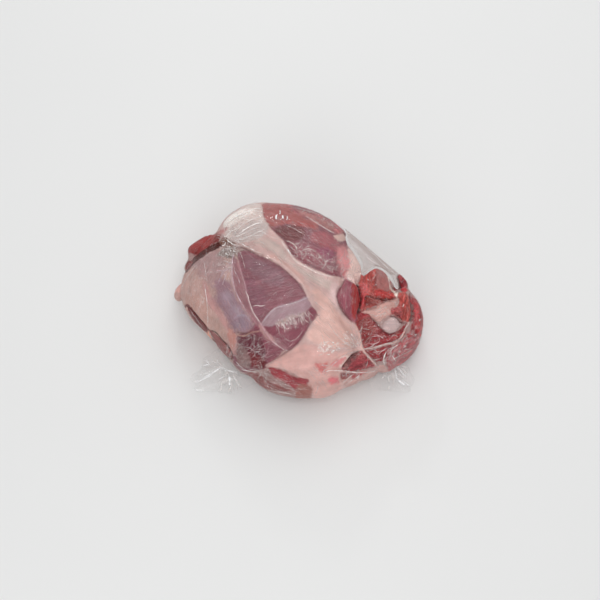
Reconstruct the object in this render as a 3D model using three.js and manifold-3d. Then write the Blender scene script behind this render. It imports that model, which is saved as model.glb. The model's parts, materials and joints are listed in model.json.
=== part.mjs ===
// A raw beef knuckle, vacuum-packed in clear film and lying on a flat surface.
// Millimetres, +Z up. X runs along the joint from its round end to its cut end, Y runs from the front to the
// back, and the origin is on the surface, under the middle of the pack.
//
// The film clings to the meat, so the bag and its contents are one solid with the outer form of both.
// The two free corners of the bag stand out from it as thin fins of film, each a solid of its own.

import * as THREE from "three";
import { ConvexGeometry } from "three/addons/geometries/ConvexGeometry.js";
import { mergeVertices } from "three/addons/utils/BufferGeometryUtils.js";
import Module from "manifold-3d";

const wasm = await Module();
wasm.setup();

// ---- driving dimensions -------------------------------------------------------------------------------

const CROWN = 115; // the highest level of the thick, round end
const CROWN_CUT = 90; // and of the thinner cut end
const CROWN_FALLS = [10, 120]; // X where the crown starts and stops falling
const WAIST = 46; // the level where the pack is widest
const UNDERSIDE = 68; // how far below its waist the mass would close, had it not settled flat
const FULLNESS = 2.25; // 2 gives an ellipse for the section, more gives fuller shoulders
const HEART = new THREE.Vector3(-6, 0, WAIST); // all of the main mass is in plain sight of this point
const REACH = 230; // further from the heart than any surface point

const MASS_DETAIL = 16; // an edge of the starting icosahedron is split this many times and once more
const FACET = 6.5; // a smaller lump's edge is split by its size, for facets of about this length
const SQUARENESS = 2.5; // of a lump: 2 gives an ellipsoid
const UNEVEN = 0.05; // how far its surface rolls in and out, as a part of its size
const ROLLS = [4, 5]; // and how quickly, along its X and Y
const CURVE_STEPS = 12; // straight steps from one point of a smooth curve to the next
const FINE = 0.05; // how closely a surface point is found

// The main mass in plan at its waist, anticlockwise from the cut end, as corners of one smooth closed curve.
const PLAN = [
  [146, -22], [136, 12], [108, 42], [72, 78], [46, 104], [8, 124], [-30, 131], [-64, 130], [-93, 112],
  [-110, 84], [-139, 48], [-148, 18], [-141, -10], [-118, -35], [-96, -60], [-73, -86], [-44, -109],
  [-8, -120], [32, -119], [66, -104], [106, -82], [138, -58],
];

// Shallow relief is placed by how it looks from the front and above, at this angle over the horizon: u to the
// right and v upwards, from the middle of the pack at this height.
const LOOK_DOWN = THREE.MathUtils.degToRad(70);
const LOOK_AT_HEIGHT = 55;

// Muscle bellies and fat pads: centre, half sizes, turn in degrees and rise, a negative rise being a hollow.
const BELLIES = {
  round_muscle: { at: [-46, 10], half: [84, 70], turn: -35, rise: 6 },
  upper_muscle: { at: [6, 82], half: [84, 42], turn: -24, rise: 13 },
  upper_fat: { at: [-70, 96], half: [44, 32], turn: 20, rise: 5 },
  lower_muscle: { at: [-12, -40], half: [50, 30], turn: 24, rise: 5 },
  heel: { at: [-64, -74], half: [44, 32], turn: -30, rise: 4 },
  fat_pad: { at: [34, -70], half: [58, 52], turn: 20, rise: 10 },
  bed_of_the_ends: { at: [106, -14], half: [62, 66], turn: -20, rise: -18 },
};

// Seams between the muscles: the points along each, its half width and its depth.
const SEAMS = {
  under_the_fascia: {
    along: [[-108, 58], [-84, 68], [-50, 62], [-22, 56], [4, 40], [28, 24], [34, -2]],
    width: 14,
    depth: 9,
  },
  across_the_round: { along: [[-52, -30], [-28, -10], [14, 0]], width: 9, depth: 3 },
  beside_the_outer_round: { along: [[-114, 14], [-100, -12], [-82, -42], [-80, -74]], width: 9, depth: 3 },
  beside_the_fat_pad: { along: [[-50, -92], [-24, -66], [6, -44], [24, -18]], width: 12, depth: 6 },
  below_the_fat_pad: { along: [[-62, -94], [-30, -86], [14, -100]], width: 9, depth: 4 },
  beside_the_ends: {
    along: [[60, 72], [50, 48], [58, 30], [44, 8], [54, -18], [74, -58], [54, -78], [50, -104]],
    width: 9,
    depth: 6,
  },
};

// Muscle ends and trimmings that stand clear of the main mass, each meeting it in a crease: centre, half
// sizes, turns about X, Y and Z in degrees, the radius that it is bent to, and the flat faces that a knife
// left on it, each as a direction and a distance from its centre.
const LUMPS = {
  flap: { at: [-117, 76, 44], half: [27, 9, 16], turn: [0, -8, 27] },
  flap_sliver: { at: [-134, 57, 36], half: [7, 15, 16], turn: [0, 0, -38] },
  side_nub: { at: [-148, 21, 30], half: [7, 13, 14], turn: [0, 0, -35] },
  red_end: {
    at: [93, 15, 60],
    half: [24, 25, 38],
    turn: [0, 0, -20],
    cuts: [[[0.55, 0.5, 0.7], 28], [[-0.5, -0.3, 0.8], 33]],
  },
  inner_end: { at: [60, 1, 69], half: [14, 27, 38], turn: [0, 0, 11] },
  outer_end: { at: [126, -8, 53], half: [14, 21, 34], turn: [0, 0, -6], cuts: [[[-0.1, 0.2, 1], 31]] },
  rim: { at: [137, -30, 36], half: [16, 52, 34], turn: [0, 0, -8], bend: 66 },
  rim_tip: { at: [127, 26, 42], half: [7, 13, 20], turn: [0, 0, 32] },
  lean_face: { at: [99, -40, 52], half: [32, 25, 36], turn: [0, 0, -8], cuts: [[[0.1, -0.3, 1], 34]] },
  knob: { at: [113, -36, 74], half: [12, 11, 19], turn: [0, 0, 0] },
  tendon: { at: [98, -15, 73], half: [22, 10, 18], turn: [0, 0, -16] },
  low_lean: { at: [98, -68, 44], half: [24, 16, 32], turn: [0, 0, -24] },
  low_end: { at: [75, -82, 40], half: [26, 14, 32], turn: [0, 0, 16] },
};

// Film pulled tight over the gap between the long muscle and the cut end: the balls that it is stretched
// over, each as its centre and radius.
const WEB = [
  [46, 86, 46, 15],
  [116, 30, 40, 9],
  [52, 58, 66, 10],
  [86, 24, 66, 10],
  [50, 74, 18, 16],
  [108, 24, 16, 14],
];

// The free corners of the bag: where each leaves the pack and the three points that its free edge runs
// through, in plan, the level of its root, and the number of pleats that run out from there to the edge.
const CORNERS = {
  bag_corner_left: {
    root: [[-104, -54], [-56, -98]],
    edge: [[-121, -62], [-139, -97], [-80, -108]],
    level: 27,
    pleats: 3,
  },
  bag_corner_right: {
    root: [[84, -92], [130, -70]],
    edge: [[93, -100], [143, -103], [141, -72]],
    level: 24,
    pleats: 2.5,
  },
};
const PLEAT_HEIGHT = 5; // from its middle to its ridge, at the free edge
const NICK = 0.16; // how far the edge draws back between two ridges, as a part of the sheet's length
const CORNER_THICKNESS = 1.2; // the film is folded over on itself there
const CORNER_GRID = [12, 22]; // from root to edge, and across
const CORNER_GAP = 1.2; // from the pack

// ---- shaping ------------------------------------------------------------------------------------------

const smoothCurve = (points, closed) =>
  new THREE.CatmullRomCurve3(
    points.map(([x, y]) => new THREE.Vector3(x, y, 0)),
    closed,
    "centripetal",
  );

const planOutline = smoothCurve(PLAN, true)
  .getPoints(PLAN.length * CURVE_STEPS)
  .map(({ x, y }) => ({ x: x - HEART.x, y: y - HEART.y }));

// How far the plan reaches from the heart in a direction.
const planReach = (x, y) => {
  for (let i = 1; i < planOutline.length; i++) {
    const [a, b] = [planOutline[i - 1], planOutline[i]];
    const before = a.x * y - a.y * x;
    const after = b.y * x - b.x * y;
    if (before >= 0 && after > 0) {
      const part = before / (before + after);
      return Math.hypot(a.x + part * (b.x - a.x), a.y + part * (b.y - a.y));
    }
  }
  return REACH;
};

// Below 1 inside the plain mass, 1 on its surface.
const fill = (point, reach) => {
  const fall = THREE.MathUtils.smoothstep(point.x, ...CROWN_FALLS);
  const crown = THREE.MathUtils.lerp(CROWN, CROWN_CUT, fall) - WAIST;
  const rise = point.z - WAIST;
  const height = rise > 0 ? rise / crown : -rise / UNDERSIDE;
  const spread = Math.hypot(point.x - HEART.x, point.y - HEART.y) / reach;
  return spread ** FULLNESS + height ** FULLNESS;
};

// The place of a point as it is seen. What faces away is unrolled past the outline, so that relief runs on
// round it.
const right = new THREE.Vector3(1, 0, 0);
const up = new THREE.Vector3(0, Math.sin(LOOK_DOWN), Math.cos(LOOK_DOWN));
const near = new THREE.Vector3(0, -Math.cos(LOOK_DOWN), Math.sin(LOOK_DOWN));
const middle = new THREE.Vector3(0, 0, LOOK_AT_HEIGHT);

const seen = (point) => {
  const u = point.dot(right);
  const v = point.clone().sub(middle).dot(up);
  const spoke = point.clone().sub(HEART);
  const nearness = spoke.dot(near);
  if (nearness >= 0) return [u, v];
  const heart = HEART.clone().sub(middle);
  const [du, dv] = [u - heart.dot(right), v - heart.dot(up)];
  const across = Math.hypot(du, dv);
  const past = Math.atan2(-nearness, across);
  const stretch = (spoke.length() * (1 + past)) / across;
  return [heart.dot(right) + du * stretch, heart.dot(up) + dv * stretch];
};

const bellyRise = ({ at, half, turn, rise }, u, v) => {
  const angle = THREE.MathUtils.degToRad(turn);
  const [du, dv] = [u - at[0], v - at[1]];
  const along = (du * Math.cos(angle) + dv * Math.sin(angle)) / half[0];
  const across = (dv * Math.cos(angle) - du * Math.sin(angle)) / half[1];
  const inside = Math.max(0, 1 - along * along - across * across);
  return rise * inside ** 1.5;
};

const seamPaths = Object.values(SEAMS).map(({ along, ...sizes }) => ({
  points: smoothCurve(along, false).getPoints(along.length * CURVE_STEPS),
  ...sizes,
}));

const seamDepth = ({ points, width, depth }, u, v) => {
  let nearest = Infinity;
  for (let i = 1; i < points.length; i++) {
    const [a, b] = [points[i - 1], points[i]];
    const [x, y] = [b.x - a.x, b.y - a.y];
    const t = ((u - a.x) * x + (v - a.y) * y) / (x * x + y * y);
    const part = THREE.MathUtils.clamp(t, 0, 1);
    const gap = Math.hypot(u - a.x - part * x, v - a.y - part * y);
    nearest = Math.min(nearest, gap);
  }
  return depth * Math.exp(-((nearest / width) ** 2));
};

const relief = (point) => {
  const [u, v] = seen(point);
  const rises = Object.values(BELLIES).map((belly) => bellyRise(belly, u, v));
  const depths = seamPaths.map((seam) => seamDepth(seam, u, v));
  return rises.reduce((a, b) => a + b, 0) - depths.reduce((a, b) => a + b, 0);
};

// Finds the surface along a direction from the heart by halving, then adds the relief there.
const surfacePoint = (direction) => {
  const reach = planReach(direction.x, direction.y);
  const point = new THREE.Vector3();
  let inside = 0;
  let outside = REACH;
  while (outside - inside > FINE) {
    const half = (inside + outside) / 2;
    point.copy(direction).multiplyScalar(half).add(HEART);
    if (fill(point, reach) < 1) inside = half;
    else outside = half;
  }
  return point.addScaledVector(direction, relief(point));
};

// ---- solids -------------------------------------------------------------------------------------------

const bare = (geometry) => {
  const plain = geometry.clone();
  plain.deleteAttribute("normal");
  plain.deleteAttribute("uv");
  return mergeVertices(plain, 1e-3);
};

const solid = (geometry) => {
  const merged = bare(geometry);
  return new wasm.Manifold(
    new wasm.Mesh({
      numProp: 3,
      vertProperties: merged.attributes.position.array,
      triVerts: new Uint32Array(merged.index.array),
    }),
  );
};

const geometryOf = (manifold) => {
  const mesh = manifold.getMesh();
  return new THREE.BufferGeometry()
    .setAttribute("position", new THREE.BufferAttribute(mesh.vertProperties, 3))
    .setIndex(new THREE.BufferAttribute(mesh.triVerts, 1));
};

const mainMass = () => {
  const geometry = bare(new THREE.IcosahedronGeometry(1, MASS_DETAIL));
  const position = geometry.attributes.position;
  const direction = new THREE.Vector3();
  for (let i = 0; i < position.count; i++) {
    direction.fromBufferAttribute(position, i).normalize();
    position.setXYZ(i, ...surfacePoint(direction));
  }
  return solid(geometry);
};

const lump = ({ at, half, turn, bend = 0, cuts = [] }) => {
  const detail = Math.round(Math.max(...half) / FACET);
  const geometry = bare(new THREE.IcosahedronGeometry(1, detail));
  const position = geometry.attributes.position;
  const point = new THREE.Vector3();
  for (let i = 0; i < position.count; i++) {
    point.fromBufferAttribute(position, i);
    const sides = point.toArray().map((side) => Math.abs(side) ** SQUARENESS);
    const spread = sides.reduce((a, b) => a + b) ** (1 / SQUARENESS);
    const roll = Math.sin(ROLLS[0] * point.x + at[0]) * Math.sin(ROLLS[1] * point.y + at[1]);
    point.multiplyScalar((1 + UNEVEN * roll) / spread);
    point.multiply(new THREE.Vector3(...half));
    for (const [direction, distance] of cuts) {
      const towards = point.dot(new THREE.Vector3(...direction).normalize());
      if (towards > distance) point.multiplyScalar(distance / towards);
    }
    if (bend) {
      const angle = point.y / bend;
      const radius = point.x + bend;
      point.x = radius * Math.cos(angle) - bend;
      point.y = radius * Math.sin(angle);
    }
    position.setXYZ(i, ...point);
  }
  const angles = turn.map(THREE.MathUtils.degToRad);
  const turned = new THREE.Matrix4().makeRotationFromEuler(
    new THREE.Euler(...angles, "ZYX"),
  );
  return solid(geometry.applyMatrix4(turned).translate(...at));
};

// Film pulled tight between round corners: the hull of balls.
const taut = (balls) => {
  const points = balls.flatMap(([x, y, z, radius]) => {
    const ball = new THREE.IcosahedronGeometry(radius, 2).translate(x, y, z);
    return Array.from({ length: ball.attributes.position.count }, (_, i) =>
      new THREE.Vector3().fromBufferAttribute(ball.attributes.position, i),
    );
  });
  return solid(new ConvexGeometry(points));
};

const aboveTable = () =>
  solid(new THREE.BoxGeometry(2 * REACH, 2 * REACH, REACH).translate(0, 0, REACH / 2));

const packBody = () => {
  const joined = [mainMass(), ...Object.values(LUMPS).map(lump), taut(WEB)];
  return joined.reduce((a, b) => a.add(b)).intersect(aboveTable());
};

const meatInFilm = new THREE.MeshStandardMaterial({
  color: 0x9a5f66,
  roughness: 0.25,
  metalness: 0,
});

const clearFilm = new THREE.MeshStandardMaterial({
  color: 0xd9dcdc,
  roughness: 0.2,
  metalness: 0,
});

const pack = new THREE.Mesh(geometryOf(packBody()), meatInFilm);
pack.name = "bagged_knuckle";

// How far a level line runs in from a place outside the pack before it meets it.
const gapToPack = (from, inward) => {
  const [hit] = new THREE.Raycaster(from, inward).intersectObject(pack);
  return hit.distance;
};

// A pleated sheet of film, both faces alike. Its root follows the side of the pack, and its lowest fold
// touches the surface that the pack lies on.
const corner = ({ root, edge, level, pleats }) => {
  const [outwards, across] = CORNER_GRID;
  const geometry = bare(new THREE.BoxGeometry(1, 1, 1, across, outwards, 1));
  const position = geometry.attributes.position;
  const [rootFrom, rootTo] = root.map(([x, y]) => new THREE.Vector3(x, y, level));
  const freeEdge = smoothCurve(edge, false);
  for (let i = 0; i < position.count; i++) {
    const t = 0.5 - position.getX(i);
    const s = position.getY(i) + 0.5;
    const side = position.getZ(i);
    const outside = freeEdge.getPoint(t).setZ(level);
    const inward = rootFrom.clone().lerp(rootTo, t).sub(outside).normalize();
    const start = outside.clone().addScaledVector(inward, gapToPack(outside, inward) - CORNER_GAP);
    const wave = Math.sin(2 * Math.PI * pleats * t + 2 * s);
    const length = s * (1 - NICK * (0.5 - 0.5 * wave));
    const point = start.lerp(outside, length);
    point.z += (PLEAT_HEIGHT - level) * s + PLEAT_HEIGHT * s * wave + CORNER_THICKNESS * side;
    position.setXYZ(i, ...point);
  }
  geometry.computeBoundingBox();
  return geometry.translate(0, 0, -geometry.boundingBox.min.z);
};

const knuckle = new THREE.Group();
knuckle.add(pack);
for (const [name, sizes] of Object.entries(CORNERS)) {
  const sheet = new THREE.Mesh(corner(sizes), clearFilm);
  sheet.name = name;
  knuckle.add(sheet);
}

// The origin is on the surface, under the middle of the whole pack.
const box = new THREE.Box3().setFromObject(knuckle);
const centre = box.getCenter(new THREE.Vector3());
knuckle.position.set(-centre.x, -centre.y, -box.min.z);

export default knuckle;
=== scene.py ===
# %% [markdown]
# # A raw beef knuckle in a tight clear bag
#
# A beef knuckle is the round of muscles from the front of the thigh. It is sold whole, in a bag that a pump has
# emptied of air, so the film clings to every fold of the meat. This lesson dresses the solid model of such a pack:
# first the meat, painted muscle by muscle, then the film over it, with its folds and its two loose corners.

# %% Load the solid model
import json
import math
import random

import bmesh
import bpy
import numpy as np
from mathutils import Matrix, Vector, noise
from mathutils.bvhtree import BVHTree

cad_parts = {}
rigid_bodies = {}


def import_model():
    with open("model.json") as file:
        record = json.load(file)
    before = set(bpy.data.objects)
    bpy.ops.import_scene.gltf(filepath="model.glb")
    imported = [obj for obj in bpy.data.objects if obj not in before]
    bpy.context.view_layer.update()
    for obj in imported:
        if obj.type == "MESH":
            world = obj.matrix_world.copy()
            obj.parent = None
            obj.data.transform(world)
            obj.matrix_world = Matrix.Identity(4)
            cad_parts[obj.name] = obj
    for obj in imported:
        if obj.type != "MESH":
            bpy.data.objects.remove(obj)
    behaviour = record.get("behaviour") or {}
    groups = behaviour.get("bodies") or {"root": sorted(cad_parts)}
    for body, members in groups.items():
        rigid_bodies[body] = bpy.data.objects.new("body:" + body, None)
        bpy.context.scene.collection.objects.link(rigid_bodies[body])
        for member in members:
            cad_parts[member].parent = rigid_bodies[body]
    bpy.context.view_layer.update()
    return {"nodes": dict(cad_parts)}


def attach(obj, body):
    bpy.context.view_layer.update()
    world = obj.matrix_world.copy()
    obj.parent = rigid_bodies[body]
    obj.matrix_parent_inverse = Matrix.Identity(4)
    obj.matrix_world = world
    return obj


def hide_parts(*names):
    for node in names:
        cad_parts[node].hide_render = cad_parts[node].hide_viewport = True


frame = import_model()
MM = 0.001

# %% [markdown]
# ## Where things are
#
# The muscles, seams and folds are placed by how they look from one side: u is millimetres to the right and v is
# millimetres upwards, from the middle of the view. The view looks down on the pack, so a helper works out u and v
# for any point of a mesh. Points that face away are unrolled past the outline, so that each muscle runs on round
# the side of the pack, as a real one does.

# %% The view, and the place of a point in it
LOOK_DOWN = math.radians(70)
VIEW_MIDDLE = np.array((2.0, -5.2, 55.0)) * MM
VIEW_DISTANCE = 1600 * MM
HEART = np.array((-4.0, -5.2, 46.0)) * MM  # what the far sides are unrolled from
WRAP = 125.0  # how far past the outline a radian of turning away is unrolled, in millimetres

AXES = np.array((
    (1, 0, 0),
    (0, math.sin(LOOK_DOWN), math.cos(LOOK_DOWN)),
    (0, -math.cos(LOOK_DOWN), math.sin(LOOK_DOWN)),
))


def seen(points):
    """The (u, v) of each point, in millimetres."""
    u, v, near = ((points - VIEW_MIDDLE) @ AXES.T).T / MM
    closer = VIEW_DISTANCE / MM / (VIEW_DISTANCE / MM - near)
    flat = np.stack((u * closer, v * closer), 1)
    heart = ((HEART - VIEW_MIDDLE) @ AXES.T) / MM
    spoke = np.stack((u, v, near), 1) - heart
    across = np.maximum(np.hypot(spoke[:, 0], spoke[:, 1]), 1)
    past = np.arctan2(np.maximum(-spoke[:, 2], 0), across)
    stretch = (across + WRAP * past) / across
    unrolled = heart[:2] + spoke[:, :2] * stretch[:, None]
    return np.where((past > 0)[:, None], unrolled, flat)


print("the view looks down", round(math.degrees(LOOK_DOWN)), "degrees")

# %% Small helpers for meshes


def alone(piece):
    """Selects one object and nothing else."""
    bpy.ops.object.select_all(action="DESELECT")
    piece.select_set(True)
    bpy.context.view_layer.objects.active = piece


def places(piece):
    """The place of each point of a mesh."""
    flat = np.empty(len(piece.data.vertices) * 3)
    piece.data.vertices.foreach_get("co", flat)
    return flat.reshape(-1, 3)


def directions(piece):
    """The way that the surface faces at each point."""
    flat = np.empty(len(piece.data.vertices) * 3)
    piece.data.vertex_normals.foreach_get("vector", flat)
    return flat.reshape(-1, 3)


def put(piece, points, lowest=-math.inf):
    """Moves the points of a mesh to new places, none of them below a height."""
    points[:, 2] = np.maximum(points[:, 2], lowest)
    piece.data.vertices.foreach_set("co", points.ravel())
    piece.data.update()


def keep(piece, name, values, kind="FLOAT"):
    """Stores one value, vector or colour for each vertex."""
    layer = piece.data.attributes.new(name, kind, "POINT")
    field = {"FLOAT": "value", "FLOAT_VECTOR": "vector", "FLOAT_COLOR": "color"}[kind]
    layer.data.foreach_set(field, np.ascontiguousarray(values, np.float32).ravel())


def apply(piece, kind, **settings):
    """Adds a modifier with its settings and applies it."""
    alone(piece)
    modifier = piece.modifiers.new(kind.title(), kind)
    for name, value in settings.items():
        setattr(modifier, name, value)
    bpy.ops.object.modifier_apply(modifier=modifier.name)


MERGE = 0.01 * MM


def whole_copy(node, name):
    """A copy of a node of the solid model, with its loose triangles merged."""
    alone(frame["nodes"][node])
    bpy.ops.object.duplicate()
    piece = bpy.context.object
    piece.name = name
    piece.data.name = name
    bpy.ops.object.parent_clear(type="CLEAR_KEEP_TRANSFORM")
    for key in list(piece.keys()):
        del piece[key]
    piece.data.materials.clear()
    bpy.ops.object.mode_set(mode="EDIT")
    bpy.ops.mesh.select_all(action="SELECT")
    bpy.ops.mesh.remove_doubles(threshold=MERGE)
    bpy.ops.object.mode_set(mode="OBJECT")
    return piece


def tree_of(piece):
    """The piece's surface, to find the nearest place of it or where a line of sight meets it."""
    mesh = bmesh.new()
    mesh.from_mesh(piece.data)
    tree = BVHTree.FromBMesh(mesh)
    mesh.free()
    return tree


def unevenness(points, size, seed):
    """Smooth noise of about -1 to 1, with bumps of a size in metres."""
    shift = Vector((seed * 3.1, seed * 1.7, seed * 2.3))
    return np.array([noise.noise(Vector(p) / size + shift) for p in points])


def step(value, low, high):
    """A smooth step from 0 at low to 1 at high."""
    part = np.clip((value - low) / (high - low), 0, 1)
    return part * part * (3 - 2 * part)


# %% [markdown]
# ## The meat
#
# The meat is a copy of the solid model, without the film that is pulled across the gap at the back right. A gap
# is cut with a prism that runs along the line of sight. The copy's facets are then rounded off by subdividing it,
# and a voxel remesh turns it into one fine, even skin that can be painted and carved.

# %% Cut the gap behind the taut film
GAP = [
    (58, 94), (59, 84), (57, 76), (59, 68), (66, 59), (71, 50), (75, 42), (76, 28), (84, 32), (92, 38),
    (99, 36), (106, 30), (111, 24), (117, 17), (122, 12), (125, 15), (124, 22), (121, 28), (120, 36),
    (112, 66), (84, 96)]
GAP_LEVEL = -20  # millimetres in front of the middle of the view
GAP_DEPTH = 170 * MM


def from_view(u, v, near):
    """The place of a point of the view that lies near millimetres in front of its middle."""
    far = (VIEW_DISTANCE / MM - near) / (VIEW_DISTANCE / MM)
    return Vector(VIEW_MIDDLE + np.array((u * far, v * far, near)) @ AXES * MM)


def block(outline, level, depth):
    """A closed block with an outline of the view, and its depth along the line of sight."""
    bpy.ops.object.select_all(action="DESELECT")
    bpy.ops.mesh.primitive_circle_add(vertices=len(outline), fill_type="NGON")
    piece = bpy.context.object
    for vertex, (u, v) in zip(piece.data.vertices, outline):
        vertex.co = from_view(u, v, level) - Vector(AXES[2] * depth / 2)
    bpy.ops.object.mode_set(mode="EDIT")
    bpy.ops.mesh.select_all(action="SELECT")
    bpy.ops.mesh.extrude_region_move(TRANSFORM_OT_translate={"value": Vector(AXES[2] * depth)})
    bpy.ops.mesh.select_all(action="SELECT")
    bpy.ops.mesh.normals_make_consistent(inside=False)
    bpy.ops.object.mode_set(mode="OBJECT")
    return piece


meat = whole_copy("bagged_knuckle", "beef_knuckle")
apply(meat, "SUBSURF", levels=1, render_levels=1)
cutter = block(GAP, GAP_LEVEL, GAP_DEPTH)
apply(meat, "BOOLEAN", operation="DIFFERENCE", object=cutter, solver="EXACT")
bpy.data.objects.remove(cutter)
print("the gap is", len(GAP), "sided, and the meat now has", len(meat.data.vertices), "vertices")

# %% Make one fine, even skin
SKIN_GRID = 1.3 * MM
EVENING = 12  # rounds of smoothing that take away the steps of the grid

apply(meat, "REMESH", mode="VOXEL", voxel_size=SKIN_GRID)
apply(meat, "SMOOTH", factor=0.5, iterations=EVENING)
print("the skin has", len(meat.data.polygons), "faces")

# %% [markdown]
# ## Painting the muscles
#
# Each muscle, band of fascia or pad of fat is an outline in the view, with its colour, what it is made of, and
# which way its grain runs. A few of them are painted shade or painted glare instead. They are laid one over
# another, as thin tissue lies on a muscle, and their edges are broken up a little, because nothing in meat ends in
# a clean line. Round parts of an outline are smooth curves through a few points.

# %% Distances to outlines and lines


def linear(code):
    """The linear colour of an sRGB hex value."""
    parts = [int(code[i:i + 2], 16) / 255 for i in (1, 3, 5)]
    return [p / 12.92 if p <= 0.04045 else ((p + 0.055) / 1.055) ** 2.4 for p in parts] + [1]


def curve(points, closed, steps=5):
    """A smooth curve through the points."""
    p = np.array(points, float)
    if closed:
        p = np.concatenate((p[-1:], p, p[:2]))
    else:
        p = np.concatenate((2 * p[:1] - p[1:2], p, 2 * p[-1:] - p[-2:-1]))
    t = np.linspace(0, 1, steps, endpoint=False)[:, None]
    runs = []
    for a, b, c, d in zip(p, p[1:], p[2:], p[3:]):
        runs.append(b + 0.5 * t * (c - a + t * (2 * a - 5 * b + 4 * c - d + t * (3 * (b - c) + d - a))))
    line = np.concatenate(runs)
    return line if closed else np.concatenate((line, p[-2:-1]))


def near_line(uv, line):
    """For each place, how far it is from a line, and how far along the line the nearest point is, from 0 to 1."""
    gap = np.full(len(uv), np.inf)
    along = np.zeros(len(uv))
    for i, (a, b) in enumerate(zip(line, line[1:])):
        side = b - a
        part = np.clip(((uv - a) @ side) / max(side @ side, 1e-9), 0, 1)
        here = np.hypot(*(uv - a - part[:, None] * side).T)
        closer = here < gap
        gap[closer] = here[closer]
        along[closer] = (i + part[closer]) / (len(line) - 1)
    return gap, along


def depth_inside(uv, outline, reach=15):
    """How far each place is inside a closed outline: negative outside, and no less than -reach."""
    line = curve(outline, True)
    line = np.concatenate((line, line[:1]))
    depth = np.full(len(uv), -float(reach))
    close = ((uv > line.min(0) - reach) & (uv < line.max(0) + reach)).all(1)
    here = uv[close]
    gap, _ = near_line(here, line)
    odd = np.zeros(len(here), bool)
    for a, b in zip(line, line[1:]):
        crosses = (a[1] > here[:, 1]) != (b[1] > here[:, 1])
        rise = np.where(crosses, b[1] - a[1], 1)
        odd ^= crosses & (here[:, 0] < a[0] + (b[0] - a[0]) * (here[:, 1] - a[1]) / rise)
    depth[close] = np.maximum(np.where(odd, gap, -gap), -reach)
    return depth


print("a curve through 4 corners has", len(curve([(0, 0), (1, 0), (1, 1), (0, 1)], True)), "points")

# %% Soften the cut end
# The solid has the cut end's chunks as blocks. Here they are pressed to one smooth face, by moving each point
# along the line of sight to the average of what lies round it. Each chunk then gets its own bulge.
CUT_END = [
    (56, 24), (68, 27), (84, 31), (98, 33), (106, 27), (116, 13), (128, 7), (140, -5), (147, -20), (146, -44),
    (132, -64), (106, -76), (84, -80), (62, -80), (70, -56), (64, -32), (51, -12), (49, 10)]
PRESS_SPREAD = 9.0  # how far round a point its level is averaged
PRESS_EDGE = 7.0  # the pressing fades in over this
PRESS_DEEPEST = -45.0  # what lies further back is left alone
PRESS_SHARE = 12  # one point in this many is enough for the average

skin = places(meat)
uv = seen(skin)
nearness = (skin - VIEW_MIDDLE) @ AXES[2] / MM
inward = depth_inside(uv, CUT_END)
facing = directions(meat) @ AXES[2]
in_front = nearness > PRESS_DEEPEST
pressed = np.flatnonzero(in_front & (inward > 0) & (facing > 0.1))
around = np.flatnonzero(in_front & (inward > -12) & (facing > 0.3))[::PRESS_SHARE]
weight = np.exp(-((uv[pressed][:, None] - uv[around][None]) ** 2).sum(2) / (2 * PRESS_SPREAD ** 2))
level = (weight * nearness[around]).sum(1) / weight.sum(1)
press = step(inward[pressed], 0, PRESS_EDGE)
skin[pressed] += (press * (level - nearness[pressed]))[:, None] * AXES[2] * MM
put(meat, skin)
print("pressed", len(pressed), "points of the cut end")

# %% Use fewer faces on the sides that look away
MOST_TRIANGLES = 196000
LOOKS_AWAY = -0.05  # how far a point faces the view, from -1 to 1
MEAT_LOWEST = 0.8 * MM

group = meat.vertex_groups.new(name="far_side")
far_side = np.flatnonzero(directions(meat) @ AXES[2] < LOOKS_AWAY)
group.add(far_side.tolist(), 1.0, "REPLACE")
apply(meat, "DECIMATE", ratio=MOST_TRIANGLES / (2 * len(meat.data.polygons)), vertex_group="far_side",
      use_collapse_triangulate=True)
meat.vertex_groups.clear()
skin = places(meat)
put(meat, skin, MEAT_LOWEST)
print("the skin now has", len(meat.data.polygons), "triangles")

# %% Muscles, fascia and fat, from the lowest layer to the highest
# What each is made of: lean, silverskin, fat, and how much a knife has opened its grain.
TISSUES = {
    "veiled": (0.7, 0.4, 0, 0),
    "skin": (0.1, 0.5, 0, 0),
    "lean": (1, 0.15, 0, 0),
    "cut": (1, 0, 0, 1),
    "fascia": (0, 0.6, 0.5, 0),
    "fat": (0, 0.1, 1, 0),
    "torn": (0.2, 0.5, 0.5, 0.2),
    "smooth": (0.25, 0.25, 0, 0),
}

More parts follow.
